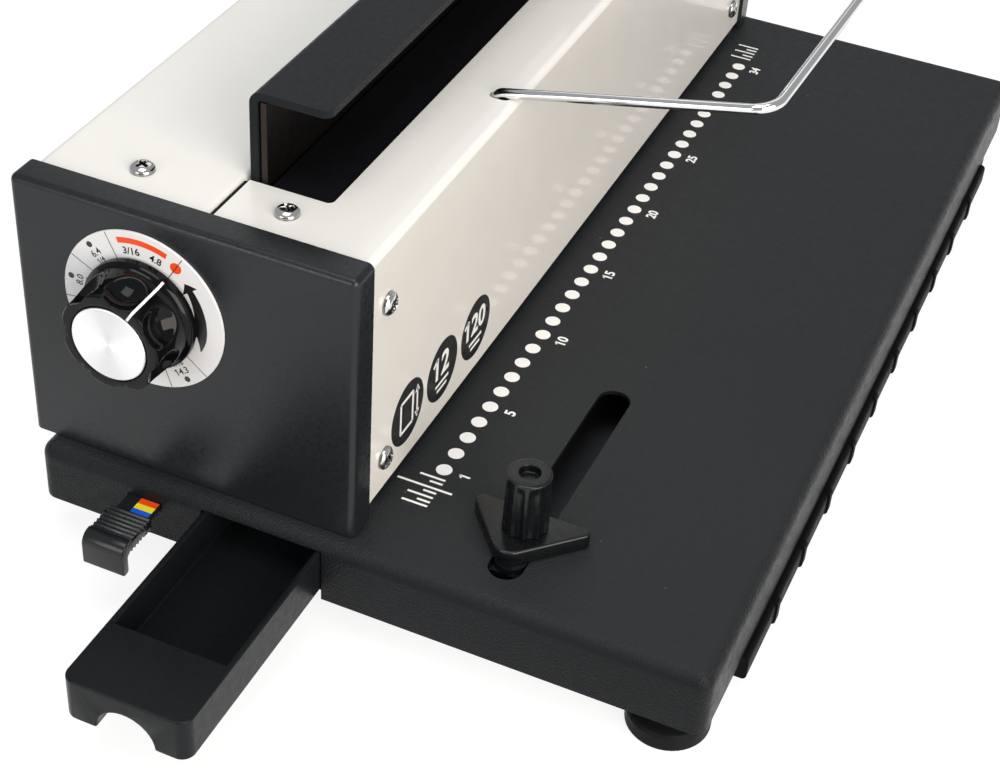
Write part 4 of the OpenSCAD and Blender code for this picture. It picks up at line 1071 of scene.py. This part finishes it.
@dataclass
class SizeDial:
    """Printed dial plate and the scalloped knob with its metal face.

    Angles are seen from the left end: 0 points to the front, 90 up. Profiles give radius and height.
    """

    shop: Shop
    axis: Point = (64.3, 59.2)
    plate_x: float = -180.5
    knob_x: float = -181.0
    knob_r: float = 17.5
    top_r: float = 15.4
    top_h: float = 17.0
    face_r: float = 11.6
    bore_r: float = 4.2
    seat_h: float = 15.9
    face_h: float = 17.3
    skirt_h: float = 2.5
    body_r: float = 16.1
    body_h: Point = (4.3, 15.5)
    sides: int = 192
    scallops: int = 7
    scallop_r: float = 8.0
    scallop_in: float = 3.0
    scallop_h: float = 12.5
    scallop_turn: float = -5.0
    scallop_soft: float = 0.4
    pointer: float = 58.0
    pointer_w: float = 0.75
    pointer_bar: Point = (12.0, 14.9)
    ribbon_half: float = 0.38
    ribbon_lift: Point = (0.06, 0.05)
    pointer_line: Line = ((14.8, 17.0), (15.4, 16.5), (15.5, 15.4), (16.12, 4.6), (16.4, 3.95), (17.45, 2.75))
    dots: Row = (133.5, 169.5, 204.0, 238.0, 272.0, 304.5)
    lines: Row = (58.0, 115.5, 152.0, 187.0, 221.0, 255.0, 288.5, 320.5)
    sizes: tuple[str, ...] = ("6.4", "8.0", "9.5", "11.1", "12.7", "14.3")
    inches: tuple[str, ...] = ("1/4", "5/16", "3/8", "7/16", "1/2", "9/16")
    first: tuple[tuple[str, float], ...] = (("4.8", 75.0), ("3/16", 98.0))
    line_ends: Point = (15.5, 25.3)
    line_w: float = 0.22
    dot_at: float = 23.4
    dot_r: float = 0.95
    size_at: float = 20.6
    size_h: float = 2.2
    inch_at: float = 18.0
    inch_h: float = 1.7
    first_at: float = 19.3
    first_h: float = 2.3
    flip: float = 200.0
    start_at: float = 21.3
    start_r: float = 1.75
    start_arc: Band = (68, 108, (21.7, 21.7), (23.5, 23.5))
    arrow: tuple[Band, ...] = (
        (-10.5, 37, (15.7, 18.2), (20.3, 20.4)), (-23.5, -10.5, (19.6, 17.3), (19.8, 20.3)),
        (37, 45, (16.4, 19.5), (22.1, 19.6)))

    def build(self) -> None:
        """Dresses the plate, prints it, and turns the knob."""
        self.shop.refined("dial_plate", DIAL_WHITE, edge=0.15)
        self.print_plate()
        self.knob()
        self.pointer_mark()
        self.face()

    def set_out(self, points: Array, x: float) -> Array:
        """Points with +X to the front, +Y up and +Z out of the left end, placed on the knob's axis."""
        return set_in(points, (x, *self.axis), FRONT, UP)

    def print_plate(self) -> None:
        """Sector lines, dots, plain sizes and the turning arrow in black; the starting dot and its arc in red."""
        black, red = PrintSheet(0.04), PrintSheet(0.04)
        for angle in self.lines:
            way = heading(np.radians(angle))
            black.bar(way * self.line_ends[0], way * self.line_ends[1], self.line_w)
        for angle, size, inch in zip(self.dots, self.sizes, self.inches):
            way = heading(np.radians(angle))
            turn = angle - 90 if angle < self.flip else angle + 90
            black.disc(*(way * self.dot_at), self.dot_r)
            black.words(size, *(way * self.size_at), self.size_h, turn, heavy=0.03)
            black.words(inch, *(way * self.inch_at), self.inch_h, turn, heavy=0.02)
        for text, angle in self.first:
            way = heading(np.radians(angle))
            black.words(text, *(way * self.first_at), self.first_h, angle - 90, heavy=0.05)
        for band in self.arrow:
            black.band(*band)
        red.disc(*(heading(np.radians(self.pointer)) * self.start_at), self.start_r)
        red.band(*self.start_arc)
        for sheet, name, ink in ((black, "dial_marks", BLACK_INK), (red, "dial_start_marks", RED_INK)):
            sheet.build(self.shop, name, "machine", ink, (self.plate_x, *self.axis), FRONT, UP)

    def knob(self) -> None:
        """Knob of a skirt and a drafted body, with finger scallops cut by balls."""
        low, high = self.body_h
        outer = rounded_line([(self.bore_r, 0.0), (self.knob_r - 0.3, 0.0), (self.knob_r, 0.4),
                              (self.knob_r, self.skirt_h), (self.knob_r - 0.6, self.skirt_h + 0.9),
                              (self.body_r + 0.1, low - 0.4)], 0.5)
        outer += map(tuple, np.linspace((self.body_r, low), (self.top_r, high), 40))
        outer += rounded_line([(self.top_r, high + 0.1), (self.top_r - 0.1, self.top_h - 0.4),
                               (self.top_r - 0.5, self.top_h), (self.face_r + 0.5, self.top_h),
                               (self.face_r + 0.2, self.top_h - 0.8)], 0.5)
        outer = [p for p in outer if p[0] > self.face_r + 0.35]
        inner = [(self.face_r + 0.2, self.top_h - 0.1), (self.face_r + 0.1, self.seat_h), (self.bore_r, self.seat_h)]
        start = np.radians(self.pointer + self.scallop_turn + 180.0 / self.scallops)
        distance = self.top_r + self.scallop_r - self.scallop_in

        def scallop(height: Array, turn: Array) -> Array:
            """Radius of the scallops' walls."""
            return round_cut(turn, self.scallops, start, distance, self.scallop_r, height - self.scallop_h)

        points = np.concatenate([turned_points(outer, self.sides, scallop, self.scallop_soft),
                                 turned_points(inner, self.sides)])
        self.shop.piece("size_knob_turned", self.set_out(points, self.knob_x),
                        capped_quads(len(outer) + len(inner), self.sides), "knob", GLOSS_BLACK, ["size_knob"])

    def pointer_mark(self) -> None:
        """White pointer: a flat bar on the knob's top, and a ribbon down its side along a line of radius and height."""
        mark = PrintSheet(0.07)
        way = heading(np.radians(self.pointer))
        mark.bar(*(way * end for end in self.pointer_bar), self.pointer_w)
        flat, own = joined(mark.parts)
        side = np.array([-way[1], way[0], 0]) * self.ribbon_half
        out = np.array(self.pointer_line)
        centre = np.column_stack([out[:, :1] * way, out[:, 1:]])
        lift = np.array([*(self.ribbon_lift[0] * way), self.ribbon_lift[1]])
        ribbon = np.stack([centre - side - lift, centre + side - lift, centre + side + lift, centre - side + lift], 1)
        points, faces = joined([(flat + (0, 0, self.top_h - 0.02), own),
                                (ribbon.reshape(-1, 3), capped_quads(len(out), 4))])
        self.shop.piece("knob_pointer", self.set_out(points, self.knob_x), faces, "knob", WHITE_INK)

    def face(self) -> None:
        """Metal disc with a small bright rim."""
        line = rounded_line([(0.0, self.seat_h), (self.face_r, self.seat_h), (self.face_r, self.face_h - 0.15),
                             (self.face_r - 0.5, self.face_h + 0.1), (self.face_r - 0.9, self.face_h - 0.05),
                             (0.0, self.face_h)], 0.15, 3)
        points = turned_points(line, 128)
        self.shop.piece("knob_face_turned", self.set_out(points, self.knob_x), grid_quads(len(line), 128), "knob",
                        TURNED_FACE, ["knob_face"])


@dataclass
class MarginSlider:
    """Ribbed thumb piece on its flat bar, with three colour bands on the neck."""

    shop: Shop
    back_x: float = -192.8
    mid_y: float = 64.85
    width: float = 13.8
    length: float = 16.0
    top_z: float = -5.6
    thick: float = 4.6
    ribs: int = 7
    nose_r: float = 3.8
    nose_up: float = 0.4
    lip: float = 11.2
    lip_t: float = 3.0
    lip_r: float = 1.3
    nose_gap: float = 0.7
    side_r: float = 0.35
    bar_top: float = -6.8
    bar_y: float = 59.5
    band_w: float = 6.1
    band_l: float = 2.3
    band_gap: float = 0.05
    groove: float = 0.75

    def build(self) -> None:
        """Makes the thumb piece and the bands."""
        self.shop.refined("slider_bar", SMOOTH_BLACK, edge=0.15)
        self.thumb()
        self.bands()

    def outline(self) -> Array:
        """Side view of the thumb piece, counter-clockwise, from the back's upper corner.

        The top and the underside are cosine ribs; the front is a round nose whose lip hangs down.

        Returns:
            Points of lengths and heights.
        """
        ribbed = self.length - self.nose_r - self.nose_gap
        run = np.linspace(0, ribbed, 16 * self.ribs + 1)
        wave = self.groove * (0.5 - 0.5 * np.cos(2 * np.pi * self.ribs * run / ribbed))
        over = np.stack([-run, wave - self.groove], -1)
        under = np.stack([-run, self.groove - self.thick - wave], -1)[::-1]
        nose = heading(np.radians(np.linspace(80, 180, 20))) * self.nose_r
        nose += (self.nose_r - self.length, self.nose_up - self.nose_r)
        low, inner = self.nose_up - self.lip, self.lip_t - self.length
        hung = rounded_line([nose[-1], (-self.length, low), (inner, low), (inner, -self.thick), (-ribbed, -self.thick)],
                            self.lip_r, 6)
        return np.concatenate([over, nose, np.array(hung[1:-1]), under])

    def thumb(self) -> None:
        """The side view carried across the width, with rounded side edges."""
        loop = self.outline()
        points, faces = soft_slab(loop, -self.width / 2, self.width / 2, self.side_r, self.side_r, 4)
        placed = set_in(points, (self.back_x, self.mid_y, self.top_z), RIGHT, UP)
        self.shop.piece("slider_thumb_ribbed", placed, faces, "slider", THUMB_BLACK, ["slider_thumb"], crease=50)

    def bands(self) -> None:
        """Red, yellow and blue bands, from the base outwards."""
        for i, (name, ink) in enumerate((("red", RED_INK), ("yellow", YELLOW_INK), ("blue", BLUE_INK))):
            sheet = PrintSheet(0.06)
            x = self.back_x + self.band_gap + (2 - i) * self.band_l
            sheet.box(x, x + self.band_l, self.bar_y, self.bar_y + self.band_w)
            sheet.build(self.shop, f"slider_band_{name}", "slider", ink, (0, 0, self.bar_top), up=BACK)


@dataclass
class EdgeGuide:
    """Three-cornered guide plate, its block in the slot and the fluted clamp knob."""

    shop: Shop
    stud_x: float = -156.5
    stud_y: float = -44.8
    low: float = 0.3
    thick: float = 5.0
    low_rim: float = 0.3
    high_rim: float = 0.7
    reach: float = 7.3
    point: float = 12.9
    skew: float = 1.2
    edge: float = 36.0
    point_r: float = 5.5
    corner_r: float = 2.0
    knob_h: float = 20.0
    knob_gap: float = 0.3
    bore_r: float = 2.4
    stud_r: float = 2.5
    stud_l: float = 4.8
    foot: float = 0.3
    foot_r: float = 7.0
    top_r: float = 6.6
    rim: float = 1.2
    sides: int = 240
    flutes: int = 10
    flute_r: float = 2.4
    flute_in: float = 1.0
    flute_end: float = 0.9
    flute_soft: float = 0.15
    well_r: float = 3.1
    well_h: float = 2.5

    def build(self) -> None:
        """Makes the plate and the knob."""
        self.shop.refined("guide_block", GUIDE_BLACK, edge=0.2)
        self.plate()
        self.knob()

    def plate(self) -> None:
        """Outline of three discs wrapped by a band: at each angle, the disc that reaches farthest that way."""
        across, along = self.reach - self.corner_r, self.edge / 2 - self.corner_r
        centres = np.array([(across, along), (across, -along), (self.point_r - self.point, self.skew)])
        radii = np.array([self.corner_r, self.corner_r, self.point_r])
        way = heading(circle(120))
        best = np.argmax(way @ centres.T + radii, axis=1)
        outline = centres[best] + radii[best][:, None] * way
        points, faces = soft_slab(outline, self.low, self.low + self.thick, self.low_rim, self.high_rim)
        self.shop.piece("guide_plate_soft", points + (self.stud_x, self.stud_y, 0), faces, "guide", GUIDE_BLACK,
                        ["guide_plate"])

    def knob(self) -> None:
        """Drafted knob with round flutes from its foot to its rim, and a shallow well in its top."""
        low, top = self.low + self.thick + self.knob_gap, self.knob_h - self.rim
        body = [(self.bore_r, 0.0), (self.foot_r - self.foot, 0.0)]
        body += map(tuple, np.linspace((self.foot_r, self.foot), (self.top_r, top), 14))
        body += rounded_line([(self.top_r, top), (self.top_r - 0.05, self.knob_h - 0.2),
                              (self.well_r + 0.6, self.knob_h)], 1.0, 5)[1:]
        floor = self.knob_h - self.well_h
        well = rounded_line([(self.well_r + 0.2, self.knob_h - 0.02), (self.well_r, self.knob_h - 0.5),
                             (self.well_r - 0.05, floor), (0.0, floor)], 0.3, 3)
        centre = self.foot_r + self.flute_r - self.flute_in

        def flute(height: Array, turn: Array) -> Array:
            """Radius of the flutes' walls, which run out at the rim."""
            rim = np.clip((height - top) / self.flute_end + 1, 0, 1)
            return round_cut(turn, self.flutes, 0.0, centre, self.flute_r) + 2 * self.flute_in * rim

        points = np.concatenate([turned_points(body, self.sides, flute, self.flute_soft),
                                 turned_points(well, self.sides)])
        faces = capped_quads(len(body) + len(well), self.sides)
        stud = turned_points([(self.stud_r, -low - self.stud_l), (self.stud_r, 0.2)], 48)
        points, faces = joined([(points, faces), (stud, capped_quads(2, 48))])
        self.shop.piece("guide_knob_fluted", points + (self.stud_x, self.stud_y, low), faces, "clamp", GUIDE_BLACK,
                        ["guide_knob"])


@dataclass
class WireHanger:
    """Bright rod bent into a frame, standing in two holes of the front cover."""

    shop: Shop
    leg_x: float = 71.8
    leg_y: float = 7.3
    rod_r: float = 1.6
    top_z: float = 89.0
    depth: float = 22.0
    sink: float = 1.7
    bend: float = 3.0
    rise: float = 12.4
    length: float = 84.2
    corner: float = 7.0
    skew: float = 0.04

    def build(self) -> None:
        """Carries a circle along the rod's line; both halves are mirror images but for the cross bar's lean.

        The line goes up the foot, round a bend of the rise's complement, straight out, and round a quarter
        to the cross bar. Each ring lies in the plane of the line's two normals there. The lean moves the
        corners outwards by a share of their distance from the left leg.
        """
        steps = 14
        c, s = heading(np.radians(self.rise))
        out, across, normal = np.array([0, -c, s]), np.array(RIGHT), np.array([0, s, c])
        a = np.radians(np.linspace(0, 90 - self.rise, steps))[:, None]
        lower_v = np.cos(a) * np.array(BACK) + np.sin(a) * np.array(UP)
        lower = np.array([0, self.leg_y - self.bend, self.top_z - self.sink]) + self.bend * lower_v
        b = np.radians(np.linspace(0, 90, steps))[:, None]
        start = lower[-1] + (self.length - self.corner) * out
        upper = start + self.corner * ((1 - np.cos(b)) * across + np.sin(b) * out)
        upper_u = np.cos(b) * across - np.sin(b) * out
        foot = np.array([[0, self.leg_y, self.top_z - self.depth]])
        line = np.concatenate([foot, lower, upper]) - (self.leg_x, 0, 0)
        u = np.concatenate([np.repeat(across[None], steps + 1, 0), upper_u])
        v = np.concatenate([[BACK], lower_v, np.repeat(normal[None], steps, 0)])
        turn = circle(32)[None, :, None]
        half = line[:, None] + self.rod_r * (np.cos(turn) * u[:, None] + np.sin(turn) * v[:, None])
        rings = np.concatenate([half, half[::-1] * (-1, 1, 1)])
        corners = rings[steps + 1:-steps - 1]
        corners += self.skew * (corners[..., :1] + self.leg_x) * out
        self.shop.piece("wire_hanger_rod", rings.reshape(-1, 3), capped_quads(len(rings), 32), "machine", BRIGHT_STEEL,
                        ["wire_hanger"])


@dataclass
class ChipTray:
    """Drawer for the punched chips, pulled out at the left."""

    shop: Shop
    edge: float = 0.7

    def build(self) -> None:
        """Dresses the tray with soft moulded edges."""
        self.shop.refined("chip_tray", MATTE_BLACK, self.edge, turns=3)


@dataclass
class PullLever:
    """Lever at the right end: hub, bright arm and a rubber grip with finger rings."""

    shop: Shop
    x: float = 190.2
    y: float = 68.875
    z: float = 35.0
    length: float = 225.0
    grip_l: float = 115.0
    grip_r: float = 13.0
    taper: float = 2.5
    rings: int = 5
    ring_in: float = 1.1
    ring_power: int = 24
    bore_r: float = 6.0
    lip: float = 0.8

    def build(self) -> None:
        """Dresses the hub and the arm, and turns the grip."""
        self.shop.refined("lever_hub", SMOOTH_BLACK, edge=0.6, turns=3)
        self.shop.refined("lever_arm", BRIGHT_STEEL, edge=0.2)
        self.grip()

    def grip(self) -> None:
        """Grip whose radius grows with height, less a cosine ring at even steps, closed by a round end."""
        low = self.length - self.grip_l
        run = self.grip_l - self.grip_r
        h = np.linspace(0, run, 110)
        t = h / run
        step = t * (self.rings + 1)
        nearest = np.round(step)
        ring = np.cos(np.pi * (step - nearest)) ** self.ring_power * ((nearest > 0) & (nearest <= self.rings))
        body = np.stack([self.grip_r - self.taper * (1 - t) - self.ring_in * ring, low + h], -1)
        end = (0, self.length - self.grip_r) + self.grip_r * heading(np.linspace(0.06, np.pi / 2, 14))
        start = np.array([(self.bore_r, low), (self.grip_r - self.taper - self.lip, low)])
        line = np.concatenate([start, body[1:], end])
        points = turned_points(line.tolist(), 72) + (self.x, self.y, self.z)
        self.shop.piece("lever_grip_moulded", points, grid_quads(len(line), 72), "lever", RUBBER, ["lever_grip"],
                        crease=60)


@dataclass(frozen=True)
class Lamp:
    """One square lamp: its place and aim in metres, its side, its power and its colour."""

    name: str
    place: Place
    aim: Place
    size: float
    power: float
    color: Color = (1.0, 1.0, 1.0)


@dataclass
class Studio:
    """Camera at the photograph's angle, soft lamps, pale floor and world."""

    lens: float = 71.05
    camera_at: Place = (-551.26, -187.22, 388.65)
    right: Place = (0.40442, -0.91271, 0.05839)
    down: Place = (-0.5507, -0.29399, -0.78122)
    ahead: Place = (0.73019, 0.28379, -0.62152)
    sensor: float = 36.0
    room: Color = (0.96, 0.98, 1.0)
    room_power: float = 0.4
    backdrop: float = 0.88
    floor_half: float = 6.0
    floor_seen: float = 0.25
    floor_around: float = 0.24
    floor_glow: float = 0.84
    lamps: tuple[Lamp, ...] = (
        Lamp("overhead", (-0.3, 0.02, 1.4), (-0.05, 0.0, 0.05), 0.8, 7.0),
        Lamp("front_window", (-0.7, -0.95, 0.5), (-0.05, 0.0, 0.08), 0.9, 15.6, (1.0, 0.93, 0.84)),
        Lamp("left_fill", (-1.3, 0.45, 0.55), (-0.1, 0.05, 0.08), 0.6, 4.4),
        Lamp("back_panel", (0.9, 0.45, 1.0), (-0.15, 0.0, 0.05), 0.8, 1.4),
    )

    def build(self) -> None:
        """Sets up the view and the light."""
        self.camera()
        self.light()
        self.world()
        self.floor()

    def camera(self) -> None:
        """Camera from the directions of its picture: right, down and ahead."""
        data = bpy.data.cameras.new("photo_view")
        data.lens, data.sensor_width, data.clip_start = self.lens, self.sensor, 0.01
        made = linked("photo_view", data)
        turn = Matrix((self.right, [-v for v in self.down], [-v for v in self.ahead])).transposed()
        made.matrix_world = Matrix.Translation(Vector((np.array(self.camera_at) + SHIFT) * MM)) @ turn.to_4x4()
        bpy.context.scene.camera = made

    def light(self) -> None:
        """Large square lamps that face the machine."""
        for lamp in self.lamps:
            data = bpy.data.lights.new(lamp.name, "AREA")
            data.energy, data.size, data.color = lamp.power, lamp.size, lamp.color
            made = linked(lamp.name, data)
            made.location = lamp.place
            made.rotation_euler = (Vector(lamp.aim) - Vector(lamp.place)).to_track_quat("-Z", "Y").to_euler()

    def world(self) -> None:
        """A pale room that is white to the camera."""
        world = bpy.data.worlds.new("pale_room")
        bpy.context.scene.world = world
        world.use_nodes = True
        sheet = NodeSheet(world.node_tree)
        room = sheet.join("Background", (*self.room, 1), self.room_power)
        plain = sheet.join("Background", (1, 1, 1, 1), self.backdrop)
        shown = sheet.add("LightPath").outputs["Is Camera Ray"]
        sheet.add("OutputWorld", Surface=sheet.join("MixShader", shown, room, plain))

    def floor(self) -> None:
        """Pale floor under the feet, which the camera and the object's reflections see as white."""
        half = self.floor_half
        mesh = bpy.data.meshes.new("pale_floor")
        mesh.from_pydata([(-half, -half, 0), (half, -half, 0), (half, half, 0), (-half, half, 0)], [], [(0, 1, 2, 3)])
        made = linked("pale_floor", mesh)
        material = bpy.data.materials.new("pale_floor")
        material.use_nodes = True
        sheet = NodeSheet(material.node_tree)
        tones = ("BsdfDiffuse", self.floor_seen), ("BsdfDiffuse", self.floor_around), ("Emission", self.floor_glow)
        seen, around, glow = (sheet.join(kind, (tone, tone, tone, 1)) for kind, tone in tones)
        path = sheet.add("LightPath").outputs
        shown = sheet.math("MAXIMUM", path["Is Camera Ray"], path["Is Glossy Ray"])
        lit = sheet.join("AddShader", seen, glow)
        sheet.add("OutputMaterial", Surface=sheet.join("MixShader", shown, around, lit))
        mesh.materials.append(material)


def main() -> None:
    """Builds the studio and every sub-assembly in order."""
    logging.basicConfig(level=logging.INFO, format="%(name)s: %(message)s")
    bpy.context.scene.view_settings.view_transform = "Standard"
    shop = Shop()
    Studio().build()
    for assembly in (BasePlate, CoverShell, ClosingHead, SizeDial, MarginSlider, EdgeGuide, WireHanger, ChipTray,
                     PullLever):
        assembly(shop).build()
        LOG.info("%s is done", assembly.__name__)
    LOG.info("%d pieces dressed", len(shop.made))


if __name__ == "__main__":
    main()
